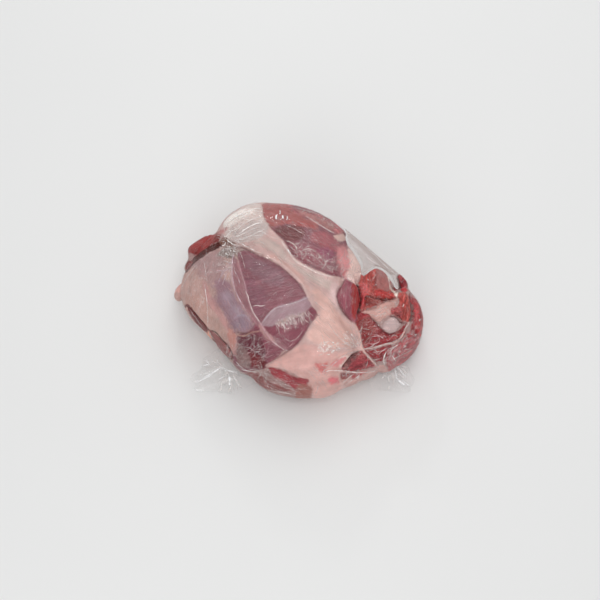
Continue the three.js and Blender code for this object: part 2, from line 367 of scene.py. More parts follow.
# Name: colour, tissue, the angle of its grain, then the softness of its edge and how far it bulges, both in
# millimetres, and its outline.
LAYERS = {
    "outer_round": ("#B9958D", "skin", 85, 3, 0, [
        (-230, 60), (-139, 42), (-120, 58), (-100, 68), (-80, 66), (-70, 30), (-75, -30), (-90, -50),
        (-118, -66), (-200, -120)]),
    "outer_round_top": ("#A78583", "veiled", 70, 9, 0, [
        (-132, 46), (-122, 57), (-100, 64), (-92, 48), (-96, 30), (-108, 20), (-118, 26)]),
    "outer_round_low": ("#BA9288", "skin", 80, 6, 0, [
        (-150, 4), (-135, 8), (-117, 6), (-112, -10), (-110, -30), (-122, -38), (-142, -16)]),
    "green_grey_skin": ("#B39087", "skin", 80, 4, 0, [
        (-112, -18), (-100, -24), (-91, -38), (-88, -52), (-98, -48), (-110, -36)]),
    "edge_sliver": ("#6C2929", "lean", -50, 1.2, -1, [
        (-137, -5), (-128, -16), (-118, -28), (-111, -37), (-114, -40), (-124, -33), (-134, -20), (-142, -8)]),
    "edge_of_sliver": ("#C39C92", "fascia", -50, 1.5, 0, [
        (-140, -8), (-134, -20), (-124, -33), (-114, -41), (-114, -50), (-128, -44), (-142, -26)]),
    "heel": ("#A38A84", "veiled", -30, 3, 0, [
        (-84, -58), (-76, -64), (-60, -80), (-50, -92), (-70, -110), (-96, -104), (-110, -80), (-96, -66)]),
    "heel_sliver": ("#895250", "lean", -50, 1.4, -1, [
        (-110, -37), (-99, -46), (-88, -54), (-83, -64), (-82, -73), (-92, -68), (-102, -58), (-108, -46)]),
    "heel_fat": ("#E29980", "fascia", -50, 2, 0, [
        (-113, -38), (-108, -48), (-101, -60), (-92, -69), (-100, -72), (-112, -62)]),
    "lower_muscle": ("#844954", "lean", 28, 2, 0, [
        (-52, -28), (-28, -30), (-10, -24), (6, -17), (14, -7), (24, -17), (15, -28), (8, -40), (0, -52),
        (-10, -61), (-20, -63), (-26, -70), (-35, -77), (-46, -86), (-62, -92), (-80, -80), (-82, -60),
        (-77, -44), (-62, -38)]),
    "lower_muscle_left": ("#642F39", "veiled", 50, 5, -0.6, [
        (-77, -45), (-60, -40), (-48, -44), (-44, -56), (-42, -66), (-52, -76), (-64, -84), (-76, -72)]),
    "lower_muscle_dark": ("#6A2127", "lean", 40, 3, -1, [
        (-62, -66), (-54, -66), (-44, -72), (-40, -78), (-44, -84), (-56, -84), (-62, -78)]),
    "lower_muscle_grey": ("#826260", "veiled", 30, 3, 0, [
        (-79, -52), (-72, -56), (-64, -64), (-60, -76), (-62, -84), (-74, -80), (-80, -66)]),
    "peach_streak": ("#BB8D89", "smooth", -62, 4, 0.3, [
        (-119, 24), (-114, 20), (-110, 8), (-102, -4), (-92, -18), (-86, -32), (-80, -40), (-77, -46),
        (-78, -60), (-80, -69), (-84, -62), (-87, -48), (-88, -40), (-96, -28), (-104, -16), (-112, -4),
        (-117, 8)]),
    "peach_knot": ("#BD857B", "smooth", 90, 3, 0.4, [
        (-85, -34), (-79, -40), (-79, -52), (-83, -62), (-87, -48), (-88, -40)]),
    "lavender": ("#8F6D75", "smooth", -62, 9, 0, [
        (-104, 22), (-98, 26), (-88, 24), (-80, 10), (-70, -8), (-60, -20), (-58, -33), (-70, -39),
        (-84, -33), (-90, -18), (-100, -4), (-105, 8)]),
    "lavender_light": ("#99818A", "smooth", -62, 12, 0, [
        (-96, 6), (-88, 10), (-80, -2), (-68, -14), (-64, -24), (-76, -22), (-86, -14)]),
    "lavender_spot": ("#917883", "smooth", -62, 6, -0.8, [
        (-82, -26), (-74, -21), (-65, -24), (-62, -32), (-70, -37), (-80, -35)]),
    "grey_crinkle": ("#8A7872", "veiled", 20, 3, 0, [
        (-101, 57), (-92, 66), (-80, 68), (-76, 60), (-84, 53), (-94, 54)]),
    "purple_corner": ("#977B75", "veiled", 30, 4, 0, [
        (-80, 66), (-70, 67), (-56, 60), (-52, 52), (-66, 48), (-76, 52)]),
    "tendon_strip": ("#92656A", "veiled", -60, 2.5, 0.4, [
        (-82, 54), (-83, 46), (-82, 30), (-79, 12), (-74, 0), (-66, -12), (-58, -25), (-50, -33), (-42, -44),
        (-32, -51), (-24, -56), (-16, -62), (-14, -59), (-24, -49), (-32, -44), (-40, -38), (-44, -30),
        (-55, -18), (-60, -6), (-64, 6), (-67, 20), (-72, 36), (-76, 50)]),
    "tendon_pink": ("#A47174", "fat", -60, 1.5, 0.3, [
        (-76, 48), (-72, 44), (-68, 34), (-69, 30), (-73, 36), (-77, 44)]),
    "tendon_fat": ("#AC8180", "fat", -50, 2, 0.5, [
        (-50, -30), (-44, -32), (-38, -40), (-32, -46), (-30, -52), (-38, -50), (-46, -42)]),
    "round_muscle": ("#88565E", "lean", 12, 1.5, 0.8, [
        (-76, 56), (-68, 62), (-60, 60), (-51, 57), (-42, 52), (-33, 48), (-24, 43), (-14, 36), (-5, 28),
        (3, 18), (8, 9), (11, 2), (4, -1), (-8, -4), (-20, -7), (-32, -13), (-41, -20), (-48, -28),
        (-55, -18), (-60, -6), (-64, 6), (-67, 20), (-72, 36)]),
    "round_muscle_red": ("#855660", "lean", 12, 8, 0, [
        (-66, 30), (-50, 20), (-38, 8), (-44, -14), (-50, -24), (-58, -10), (-64, 8)]),
    "round_muscle_mauve": ("#865E66", "lean", 12, 8, 0, [
        (-62, 56), (-40, 46), (-24, 36), (-20, 20), (-36, 18), (-54, 30), (-66, 44)]),
    "bluish_veil": ("#A28288", "skin", 50, 2, 0.4, [
        (-47, -30), (-40, -19), (-30, -10), (-20, -6), (-5, -3), (10, 5), (17, -4), (11, -11), (0, -18),
        (-8, -18), (-16, -22), (-26, -26), (-34, -32)]),
    "veil_grey": ("#A5888D", "veiled", 50, 3, 0, [
        (-38, -18), (-30, -10), (-20, -7), (-16, -12), (-26, -18), (-32, -24)]),
    "upper_muscle": ("#8A5960", "lean", -24, 1.5, 0, [
        (-50, 130), (-44, 105), (-38, 93), (-29, 83), (-20, 75), (-14, 66), (-9, 57), (0, 49), (10, 43), (26, 36),
        (38, 31), (52, 29), (60, 25), (68, 30), (80, 45), (74, 60), (100, 110), (60, 220), (-40, 240)]),
    "upper_muscle_brown": ("#764748", "lean", -20, 3, 0, [
        (-30, 88), (-14, 94), (2, 92), (8, 84), (2, 76), (-8, 74), (-20, 76)]),
    "upper_muscle_crest": ("#A3605D", "lean", -24, 4, 0, [
        (-50, 130), (-42, 100), (-34, 91), (-16, 95), (8, 92), (24, 88), (20, 98), (2, 106), (-10, 126),
        (-20, 220), (-60, 220)]),
    "upper_muscle_orange": ("#AB5957", "lean", -24, 5, 0, [
        (-14, 100), (2, 97), (18, 93), (20, 90), (4, 93), (-12, 96)]),
    "upper_muscle_pink": ("#A05E63", "lean", -24, 6, 0, [
        (22, 86), (38, 82), (50, 72), (48, 62), (34, 60), (24, 70), (14, 78)]),
    "upper_muscle_plum": ("#905464", "lean", -24, 4, 0, [
        (18, 62), (30, 66), (42, 62), (44, 52), (32, 46), (22, 54)]),
    "leaf_strip": ("#A25E61", "cut", -26, 1.2, 0.8, [
        (-8, 122), (-4, 114), (17, 109), (33, 104), (49, 95), (58, 88), (56, 82), (50, 81), (42, 85),
        (33, 89), (20, 97), (8, 104), (-3, 108), (-14, 124), (0, 200), (60, 140), (20, 118)]),
    "leaf_strip_pale": ("#A4716E", "veiled", 50, 4, 0.3, [
        (0, 112), (14, 107), (30, 101), (44, 92), (40, 88), (28, 93), (14, 101), (2, 107)]),
    "strip_end": ("#CFACA2", "fat", 0, 2.5, 0.2, [(43, 81), (55, 82), (60, 76), (52, 73), (46, 75)]),
    "upper_muscle_tangle": ("#90545C", "veiled", -20, 3, 0, [
        (-18, 73), (-8, 70), (2, 66), (16, 66), (28, 58), (36, 46), (50, 36), (52, 30), (38, 32), (26, 37),
        (10, 44), (0, 50), (-9, 58)]),
    "pink_end": ("#C88585", "fat", -60, 6, 1, [
        (48, 64), (56, 68), (64, 60), (72, 50), (72, 38), (64, 26), (56, 28), (50, 38), (47, 50)]),
    "pink_end_pale": ("#DCBDB4", "fat", -60, 6, 0.4, [
        (60, 68), (70, 58), (84, 50), (84, 34), (74, 28), (66, 21), (60, 30), (62, 44)]),
    "under_film": ("#997874", "veiled", -25, 3, 0, [
        (-72, -92), (-52, -86), (-34, -88), (-18, -98), (-4, -106), (6, -118), (10, -230), (-120, -200),
        (-100, -108)]),
    "under_film_red": ("#854E4C", "lean", -25, 3, 0, [
        (-66, -91), (-52, -90), (-36, -100), (-10, -112), (-30, -112), (-56, -102)]),
    "fascia": ("#CAA8A2", "fascia", -38, 1.2, 0.8, [
        (-80, 70), (-93, 80), (-118, 100), (-180, 180), (-60, 240), (-47, 130), (-44, 105), (-38, 93),
        (-29, 83), (-20, 75), (-14, 66), (-9, 57), (0, 49), (10, 43), (26, 36), (38, 31), (51, 29), (56, 26),
        (51, 17), (47, 8), (49, -3), (56, -15), (63, -24), (68, -30), (73, -40), (76, -50), (79, -59),
        (72, -64), (62, -71), (53, -84), (52, -98), (60, -112), (80, -230), (16, -230), (14, -117),
        (17, -111), (10, -105), (12, -98), (2, -97), (-10, -88), (-30, -83), (-42, -81), (-26, -71),
        (-10, -61), (0, -52), (8, -40), (15, -28), (24, -18), (15, -5), (11, 2), (3, 19), (-8, 30),
        (-15, 37), (-25, 45), (-31, 48), (-36, 53), (-40, 52), (-44, 58),
        (-49, 56), (-53, 62), (-59, 62), (-64, 68), (-70, 67), (-76, 71)]),
    "fascia_lip": ("#CDA59D", "fascia", -38, 3, 0, [
        (-36, 54), (-26, 48), (-14, 40), (-4, 30), (4, 20), (12, 6), (16, 8), (8, 24), (-4, 38), (-18, 48),
        (-34, 58)]),
    "fascia_cream": ("#C4ADA5", "fascia", -38, 6, 0, [
        (-56, 72), (-40, 76), (-24, 68), (-12, 52), (2, 40), (24, 30), (46, 20), (44, 10), (26, 18),
        (6, 30), (-10, 44), (-30, 60)]),
    "white_crown": ("#D3C0B9", "fat", 30, 4, 0.2, [
        (-86, 74), (-94, 90), (-88, 112), (-66, 140), (-49, 120), (-44, 103), (-38, 92), (-46, 80), (-62, 73)]),
    "crown_grey": ("#C6B5B0", "fascia", 30, 5, 0, [
        (-84, 77), (-74, 89), (-58, 97), (-44, 99), (-38, 91), (-46, 80), (-60, 74), (-76, 73)]),
    # Pale fat with a painted glare of the film over it: the brightest white of the crown.
    "white_patch_and_glare": ("#F1E6DF", "fat", 20, 5, 0.8, [
        (-93, 94), (-89, 103), (-77, 110), (-64, 114), (-54, 113), (-60, 107), (-70, 102), (-80, 95),
        (-88, 92)]),
    "fascia_low": ("#DAB0A5", "fascia", -38, 8, 0, [
        (14, 12), (26, 12), (40, -4), (60, -28), (70, -46), (60, -58), (30, -56), (12, -44), (20, -26),
        (26, -14)]),
    "fascia_grey": ("#D7B7B3", "fascia", -38, 5, 0, [(40, 20), (50, 22), (48, 6), (52, -6), (46, -8), (40, 4)]),
    "fat_pad": ("#D3A59D", "fat", 10, 8, 0.8, [
        (-10, -62), (8, -54), (40, -62), (62, -66), (52, -84), (52, -110), (60, -200), (18, -200), (18, -112),
        (8, -98), (-20, -84), (-36, -80)]),
    "fat_grey": ("#E9CBC1", "fat", 10, 4, 0, [(50, -70), (60, -68), (66, -72), (58, -80), (50, -82)]),
    "fat_front": ("#CA9E96", "fat", 10, 6, 0, [
        (14, -100), (26, -98), (40, -108), (36, -116), (18, -114), (12, -106)]),
    "pink_wedge": ("#D78D8C", "fat", 30, 3, 0, [(38, -80), (44, -74), (56, -70), (56, -74), (46, -82)]),
    "red_star": ("#C56A67", "fat", 30, 5, 0, [
        (20, -78), (28, -79), (36, -76), (33, -84), (30, -89), (24, -85)]),
    "red_strip": ("#963B41", "lean", -25, 3, -0.6, [
        (-37, -83), (-22, -86), (-6, -94), (12, -98), (10, -105), (14, -110), (10, -116), (2, -116),
        (-8, -108), (-20, -99), (-32, -93)]),
    "red_strip_foot": ("#996259", "veiled", -25, 4, 0, [
        (-2, -106), (10, -105), (16, -112), (12, -150), (-10, -146), (-4, -116)]),
    "pink_spot": ("#D06E74", "fat", 0, 4, 0, [(36, -97), (41, -94), (48, -96), (48, -102), (38, -103)]),
    "low_folds": ("#BE948D", "veiled", 20, 1.5, 0, [
        (50, -90), (70, -89), (92, -84), (110, -84), (150, -150), (90, -200), (60, -112), (52, -100)]),
    "low_folds_dark": ("#843D3C", "lean", 30, 2, -1, [(53, -90), (66, -90), (60, -96), (53, -97)]),
    "low_folds_red": ("#AA5555", "lean", 30, 2, -1, [(68, -90), (84, -88), (74, -94), (66, -98)]),
    "low_end": ("#903B40", "cut", 20, 1, 3, [
        (54, -86), (58, -78), (66, -69), (76, -63), (84, -69), (94, -81), (84, -84), (70, -87)]),
    "low_end_brown": ("#774646", "cut", 60, 2, 0, [
        (55, -86), (58, -78), (66, -69), (74, -65), (66, -74), (60, -84)]),
    "lean_face": ("#84272C", "cut", 20, 1.2, 1.5, [
        (68, -22), (74, -13), (88, -16), (93, -26), (104, -36), (114, -41), (124, -36), (134, -28), (131, -42),
        (122, -50), (104, -55), (86, -60), (79, -56), (75, -42), (70, -30)]),
    "lean_face_dark": ("#7C2223", "cut", 20, 4, 0, [
        (72, -24), (84, -22), (94, -36), (86, -52), (78, -46), (74, -34)]),
    "low_lean": ("#8E2F34", "cut", -60, 1.2, 2, [
        (80, -61), (96, -60), (114, -55), (109, -66), (103, -75), (94, -74)]),
    "rim": ("#9E373B", "cut", -75, 1.5, 2, [
        (137, 8), (146, 2), (160, 10), (230, 0), (230, -150), (130, -150), (112, -84), (106, -72),
        (114, -58), (130, -48), (140, -30), (142, -20), (142, -8)]),
    "rim_low": ("#A25256", "cut", 35, 3, 0, [
        (114, -60), (126, -52), (140, -44), (151, -50), (150, -90), (122, -96), (108, -78)]),
    "brown_lean": ("#8A3D38", "cut", 10, 1.5, -0.5, [
        (80, 5), (92, 3), (104, 1), (112, -1), (104, -2), (96, -6), (86, -10), (80, -12)]),
    "red_end": ("#A94742", "cut", 75, 1.2, 3.5, [
        (72, 18), (76, 28), (82, 40), (92, 50), (104, 46), (112, 34), (112, 27), (114, 20), (116, 13), (122, 7),
        (121, 4), (112, 2), (104, 2), (94, 3), (84, 5), (82, -4), (79, -12), (76, -10), (76, 4), (74, 12)]),
    "red_end_ragged": ("#B04345", "cut", 85, 2, 0.6, [
        (73, 16), (80, 22), (86, 14), (84, 6), (81, -10), (77, -8), (76, 6)]),
    "red_end_band": ("#B13D3B", "cut", -20, 1.5, 0.6, [
        (98, 15), (108, 11), (121, 7), (120, 4), (110, 3), (98, 5), (92, 8)]),
    "cut_facet": ("#A26561", "lean", 80, 1.0, 0.4, [
        (95, 36), (96, 46), (108, 46), (116, 30), (113, 21), (113, 14), (107, 12), (98, 15), (95, 18), (95, 26)]),
    "outer_end": ("#AA4B45", "cut", 85, 1.2, 4, [
        (121, 6), (131, 11), (136, 4), (138, -4), (139, -14), (137, -25), (130, -26), (124, -21), (118, -18),
        (113, -18), (114, -10), (121, -7), (124, 0)]),
    "outer_end_dark": ("#AB5353", "cut", 20, 2, 0, [
        (114, -9), (121, -8), (126, -14), (126, -22), (118, -18), (113, -18)]),
    "rim_tip": ("#AD3036", "cut", 60, 1, 3, [
        (119, 32), (125, 30), (130, 22), (134, 14), (131, 10), (126, 13), (121, 22)]),
    "fat_bit": ("#F3E6DA", "torn", 60, 1, 1.5, [
        (108, 30), (111, 26), (114, 16), (122, 9), (121, 5), (118, 8), (112, 14), (111, 22)]),
    "tendon": ("#C4978E", "torn", 10, 1.2, 2, [
        (78, -15), (87, -11), (97, -6), (107, -1), (114, 1), (124, 3), (119, -3), (121, -7), (114, -11),
        (113, -17), (106, -22), (99, -26), (92, -24), (87, -17)]),
    "knob": ("#C3A9A6", "torn", 0, 1.2, 4, [
        (104, -29), (111, -23), (119, -20), (124, -25), (125, -32), (119, -39), (111, -40), (104, -35)]),
    "inner_end": ("#924D59", "veiled", 85, 1.2, 2.5, [
        (64, 24), (57, 26), (51, 18), (47, 8), (49, -3), (56, -15), (64, -24), (69, -28), (72, -19), (75, -10),
        (76, 2), (75, 11), (71, 19)]),
    "inner_end_red": ("#952D2D", "lean", 85, 2, 1, [
        (66, 22), (72, 17), (75, 8), (76, -2), (73, -13), (68, -24), (64, -12), (64, 6)]),
    "behind_inner_end": ("#F3D2CA", "fat", 60, 1.5, 0, [
        (66, 28), (72, 24), (74, 19), (71, 19), (66, 23), (60, 27)]),
    # The flap's lower front: the flap's red, made darker as painted shade.
    "flap_front_in_painted_shade": ("#7E2623", "smooth", 30, 1.2, 1.5, [
        (-142, 60), (-136, 70), (-129, 76), (-120, 83), (-110, 88), (-100, 87), (-97, 82), (-99, 75),
        (-106, 70), (-116, 66), (-124, 59), (-130, 54), (-137, 53)]),
    # Painted shade: the dark hollow under the flap, which is also carved 4 mm in.
    "painted_shade_under_flap": ("#4A150E", "lean", 30, 1, -4, [
        (-137, 55), (-130, 55), (-124, 60), (-116, 66), (-106, 70), (-98, 73), (-92, 71), (-100, 65),
        (-112, 59), (-122, 52), (-132, 44), (-139, 35), (-144, 38), (-141, 50)]),
    "knot_red": ("#B27D7A", "smooth", 20, 4, 0, [
        (-104, 85), (-98, 88), (-90, 90), (-88, 88), (-92, 84), (-99, 82)]),
    "knot_spot": ("#A33B3B", "lean", 20, 1.5, 0.3, [(-97, 70), (-94, 73), (-90, 73), (-92, 70), (-95, 68)]),
    "knot_dark": ("#774E40", "veiled", 20, 1.5, -0.5, [
        (-99, 72), (-92, 78), (-84, 74), (-78, 70), (-84, 67), (-94, 68)]),
    "flap_tail": ("#8F3E41", "cut", 45, 1, 0, [(-142, 44), (-138, 46), (-130, 53), (-132, 48), (-139, 39)]),
}

# Small parts that stick out: colour, tissue, the angle of the grain, how far it bulges, and the middle and half
# size, all in millimetres.
BLOBS = {
    "flap": ("#983F3D", "smooth", 30, 2.5, (-115, 70, 52), (31, 14, 21)),
    # Painted shade in the gap under the flap.
    "painted_shade_in_flap_gap": ("#4E1C14", "lean", 30, 0, (-130, 46, 64), (7, 6, 14)),
    "flap_foot": ("#7A3434", "cut", 30, 0, (-138, 40, 58), (8, 10, 16)),
    "side_nub": ("#DDA89E", "fat", 60, 0, (-149, 19, 32), (9, 10, 16)),
    "rim_tip_back": ("#96333A", "cut", 60, 0, (127, 14, 60), (10, 13, 20)),
    "red_end_back": ("#A04A44", "cut", 60, 0, (92, 34, 62), (17, 10, 22)),
}

print(len(LAYERS), "layers and", len(BLOBS), "blobs")

# %% Lay the colours on the skin
BULGE_ROUNDING = 5.0  # how far in from its edge a bulge reaches its height
BARE = ("#A98883", "skin", 80.0)


def lay_over(values, share, top):
    """Lays a row of numbers over each row of values, as strongly as that row's share."""
    values += share[:, None] * (np.array(top, float) - values)


uv = seen(skin)
fine = unevenness(skin, 3 * MM, 1)
broad = unevenness(skin, 12 * MM, 2)
colour = np.tile(linear(BARE[0]), (len(skin), 1))
tissue = np.tile(np.array(TISSUES[BARE[1]], float), (len(skin), 1))
grain = np.full(len(skin), BARE[2])
rise = np.zeros(len(skin))
# Bulges are lifted only where the skin faces the view, so that the sides keep the solid's form.
lift = np.clip(1.4 * (directions(meat) @ AXES[2]), 0, 1)
for code, kind, angle, soft, bulge, outline in LAYERS.values():
    # A knife's edge is ragged, and a soft edge wanders more than a sharp one.
    ragged = 1.6 if kind in ("cut", "torn") else 0.8 + 0.25 * soft
    depth = depth_inside(uv, outline) + ragged * fine + 0.35 * soft * broad
    share = step(depth, -0.5 * soft, 0.5 * soft)
    rise += bulge * lift * (1 - np.exp(-np.maximum(depth, 0) / BULGE_ROUNDING))
    lay_over(colour, share, linear(code))
    lay_over(tissue, share, TISSUES[kind])
    grain[depth > 0] = angle
for code, kind, angle, bulge, middle, half in BLOBS.values():
    # Where it isn't seen, its edge is blurred, so that it doesn't end like a disc.
    away = np.linalg.norm((skin / MM - middle) / half, axis=1) + 0.12 * fine + 0.08 * broad
    blur = 0.25 * (1 - lift)
    share = step(away, 1.12 + blur, 0.98 - blur)
    rise += bulge * step(away, 1, 0.6)
    lay_over(colour, share, linear(code))
    lay_over(tissue, share, TISSUES[kind])
    grain[away < 1] = angle
print("painted", len(skin), "points")

# %% [markdown]
# ## Seams, cords and relief
#
# Where two muscles meet there is a groove with painted shade at its bottom, and where fascia or tendon gathers
# there is a pale raised cord. Both are lines in the view, with a half width and a height in millimetres: a
# groove's height is negative. They are carved by moving points of the skin along their normals, which is sculpting
# done in numbers.
# Fibres and small lumps are noise, stretched along the grain where the meat is lean.

# %% Draw the seams and the cords
# Name: colour, how strongly it shows, half width, height, and the line.
LINES = {
    # Lines with a negative height are grooves and clefts, and their dark colour is painted shade at the bottom of
    # each.
    "cleft_inner": ("#2E100E", 1.0, 1.1, -4, [(70, 24), (73, 19), (76, 10), (77, 0), (75, -10), (72, -18)]),
    "cleft_outer": ("#4A1411", 0.9, 1.6, -5, [(138, 7), (139, -3), (141, -12), (141, -20), (138, -27)]),
    "edge_of_inner": ("#7A5052", 0.5, 1.4, -3, [(57, 26), (51, 18), (47, 8), (49, -3), (56, -15), (68, -29)]),
    "seam_red_brown": ("#6A2522", 0.6, 1.3, -2.5, [(79, -12), (82, -3), (84, 5), (96, 3), (110, 1), (121, 3)]),
    "seam_facet": ("#7A3230", 0.5, 1.2, -1, [(95, 36), (94, 24), (97, 14), (106, 11), (116, 11)]),
    "seam_tendon": ("#7A3A38", 0.5, 1.3, -1.5, [(80, -12), (92, -10), (100, -5), (108, -1)]),
    "seam_knob": ("#5C2026", 0.7, 1.3, -2, [(88, -20), (95, -27), (103, -37), (112, -42), (122, -39)]),
    "seam_outer": ("#5E2022", 0.7, 1.3, -2, [(112, -19), (120, -21), (126, -27), (134, -28)]),
    "cleft_low": ("#5A3A36", 0.7, 1.4, -3, [(54, -84), (60, -76), (67, -68), (75, -63)]),
    "seam_fat_lean": ("#DFB6AC", 0.9, 1.5, 1.8, [
        (67, -27), (73, -38), (76, -50), (78, -60), (88, -72), (96, -82)]),
    "cord_across": ("#E2BFB5", 0.9, 1.0, 0.9, [
        (70, -61), (85, -60), (98, -57), (108, -54), (118, -52), (126, -46), (131, -37), (136, -28), (139, -25)]),
    "cord_low": ("#D8A39D", 0.7, 1.2, 1.2, [(28, -92), (33, -87), (44, -86), (58, -88), (75, -89), (88, -86)]),
    "cord_pad": ("#E0B5AA", 0.6, 1.4, 1.2, [(42, -72), (54, -66), (64, -62), (74, -60)]),
    "tendon_left": ("#B88A92", 0.7, 1.0, 0.8, [
        (-84, 46), (-82, 30), (-79, 12), (-74, 0), (-66, -12), (-50, -33)]),
    "tendon_right": ("#C59AA0", 0.8, 1.0, 0.8, [
        (-76, 52), (-72, 36), (-67, 20), (-64, 5), (-60, -8), (-54, -20), (-46, -31), (-38, -44), (-30, -53),
        (-14, -62)]),
    "ligament": ("#C3A0A6", 0.8, 1.2, 0.8, [(-83, 50), (-83, 40), (-84, 30), (-80, 14)]),
    "ligament_branch": ("#B99CA2", 0.7, 1.0, 0.6, [(-82, 48), (-88, 40), (-96, 30), (-100, 22)]),
    "cream_line": ("#C09A88", 0.7, 1.0, 0.4, [(-79, -42), (-68, -44), (-60, -40), (-48, -38)]),
    "sliver_top": ("#3A211D", 0.9, 0.9, -1, [(-111, -37), (-103, -40), (-94, -51), (-86, -61), (-82, -72)]),
    "sliver_low": ("#43251F", 0.8, 0.8, -0.8, [(-110, -41), (-102, -57), (-92, -69), (-82, -74)]),
    "sliver_edge": ("#3A1512", 0.9, 0.8, -1, [(-139, -6), (-130, -15), (-120, -27), (-112, -37)]),
    "brown_line": ("#6B443E", 0.8, 0.9, -0.8, [(-78, -39), (-66, -41), (-58, -38)]),
    "edge_of_fascia": ("#7C5358", 0.6, 1.2, -1.2, [
        (-76, 66), (-66, 64), (-52, 56), (-44, 51), (-33, 46), (-25, 42), (-15, 35), (-5, 26), (3, 16), (10, 2)]),
    "edge_of_upper": ("#744C50", 0.6, 1.2, -1.2, [
        (-36, 93), (-27, 84), (-18, 76), (-12, 67), (-7, 58), (2, 51), (12, 45), (28, 38), (40, 33), (51, 31)]),
    # Painted highlight: a bright line where the fascia's edge catches the light.
    "painted_shine_of_fascia": ("#EBDCD4", 0.8, 1.0, 0.5, [
        (-22, 74), (-16, 65), (-10, 56), (-3, 48), (8, 42), (24, 34), (42, 29)]),
    "lip_of_fascia": ("#DDBDB6", 0.7, 0.9, 0.5, [
        (-80, 70), (-66, 66), (-52, 60), (-44, 58), (-42, 54), (-32, 51), (-22, 46), (-8, 34), (4, 20),
        (12, 4)]),
    "edge_of_lower": ("#704048", 0.5, 1.3, -1.4, [
        (22, -19), (14, -29), (8, -40), (0, -52), (-11, -61), (-26, -71), (-42, -82)]),
    "spot_rim": ("#A597A3", 0.5, 1.4, 0.3, [(-82, -24), (-75, -19), (-66, -19), (-60, -27)]),
    "veil_top": ("#C3B2BA", 0.8, 0.9, 0.4, [(-45, -27), (-38, -18), (-28, -9), (-14, -5), (2, 0), (12, 4)]),
    "leaf_vein": ("#E4CBC6", 0.7, 0.7, 0.4, [(8, 105), (20, 97), (33, 89), (44, 83)]),
    "leaf_back": ("#7C4A4A", 0.6, 1.0, -0.6, [(18, 110), (34, 104), (48, 96), (56, 88)]),
    "leaf_top": ("#B9A59F", 0.6, 0.9, 0.3, [(-4, 115), (14, 110), (30, 105), (46, 97), (56, 89)]),
}

for code, strength, half, height, line in LINES.values():
    gap, along = near_line(uv, curve(line, False))
    ends = np.clip(8 * np.minimum(along, 1 - along) + 0.25, 0, 1)
    ridge = np.exp(-((gap / half) ** 2)) * ends
    rise += height * ridge
    shade = strength * np.exp(-((gap / (0.8 * half)) ** 2)) * ends * (1 + 0.3 * fine)
    lay_over(colour, np.clip(shade, 0, 1), linear(code))
print("drew", len(LINES), "seams and cords")

# %% Give the meat its relief
GRAIN_STRETCH = 0.1  # noise is ten times as long as it is wide along the grain

turn = np.radians(grain)
along = uv[:, 0] * np.cos(turn) + uv[:, 1] * np.sin(turn)
across = uv[:, 1] * np.cos(turn) - uv[:, 0] * np.sin(turn)
nearness = (skin - VIEW_MIDDLE) @ AXES[2] / MM
grain_place = np.stack((along * GRAIN_STRETCH, across, 0.3 * nearness), 1) * MM

# Heights in millimetres: fibres in the lean, pulled threads in the silverskin, torn lumps where it is cut, and
# broad lumps all over, with finer ones in the fat.
lean, silver, fat, cut = tissue.T
rise += 0.15 * lean * (1 - cut) * unevenness(grain_place, 3.5 * MM, 7)
rise += 0.2 * silver * (0.5 - np.abs(unevenness(grain_place, 5 * MM, 8)))
rise += cut * (0.7 * unevenness(skin, 8 * MM, 3) + 0.3 * unevenness(skin, 3.5 * MM, 4))
rise += (0.4 - 0.2 * cut) * broad + 0.1 * fat * fine
put(meat, skin + directions(meat) * rise[:, None] * MM, MEAT_LOWEST)
print("the relief goes from", round(rise.min(), 1), "to", round(rise.max(), 1), "mm")

# %% Store the paint on the mesh
keep(meat, "tint", colour, "FLOAT_COLOR")
keep(meat, "grain", grain_place, "FLOAT_VECTOR")
for name, values in (("lean", lean), ("silver", silver), ("cut", cut)):
    keep(meat, name, values)
alone(meat)
bpy.ops.object.shade_smooth()
meat_surface = tree_of(meat)
print("stored a tint, a grain and three tissues for", len(skin), "points")

# %% [markdown]
# ## The look of wet meat
#
# Raw beef is muscle fibre full of water. Lean is dark and lets light in a little, silverskin is a thin pale veil
# with threads in it, and fat is a soft matt cream. Under tight film all of them are evenly glossy. The painted
# tint gives the broad colours, and noise stretched along the grain gives the fibres.

# %% A helper for nodes


def add(tree, kind, feeds=None, **settings):
    """Adds a node. Each feed is a number, a colour, an output, or a node, which then gives its first output."""
    node = tree.nodes.new(kind)
    for name, value in settings.items():
        setattr(node, name, value)
    for name, value in (feeds or {}).items():
        if isinstance(name, int):
            socket = node.inputs[name]
        else:
            socket = next(s for s in node.inputs if s.enabled and s.name == name)
        if isinstance(value, bpy.types.Node):
            value = next(s for s in value.outputs if s.enabled)
        if isinstance(value, bpy.types.NodeSocket):
            tree.links.new(value, socket)
        else:
            socket.default_value = value
    return node


def new_material(name):
    """A material with an empty node tree."""
    material = bpy.data.materials.new(name)
    material.use_nodes = True
    material.node_tree.nodes.clear()
    return material, material.node_tree


print("nodes are added with one function")

# %% The meat's material
# The width of what each noise draws. Real fibre bundles are about 1 mm wide, and are drawn coarser, to show.
FIBRE = 1.7 * MM
STREAK = 6 * MM
THREAD = 7 * MM
BUNDLE = 3.0 * MM
FLECK = 2.4 * MM
MOTTLE = 12 * MM
HOLLOW = 0.9 * MM  # how deep the fine relief looks

wet_meat, tree = new_material("wet_raw_beef")
tint, grain_at, is_lean, is_silver, is_cut = (
    add(tree, "ShaderNodeAttribute", attribute_name=name)
    for name in ("tint", "grain", "lean", "silver", "cut"))
place = add(tree, "ShaderNodeTexCoord").outputs["Object"]


def shade_by(look, share, amount, low, high):
    """Darkens and lightens a colour by a noise: low and high are what its darkest and lightest places become."""
    level = add(tree, "ShaderNodeMapRange", {
        "Value": amount, "From Min": 0.3, "From Max": 0.7, "To Min": low, "To Max": high})
    return add(tree, "ShaderNodeMix", {"Factor": share, "A": look, "B": level}, data_type="RGBA",
               blend_type="MULTIPLY")


print("the meat's material reads", tint.attribute_name, "and", grain_at.attribute_name)

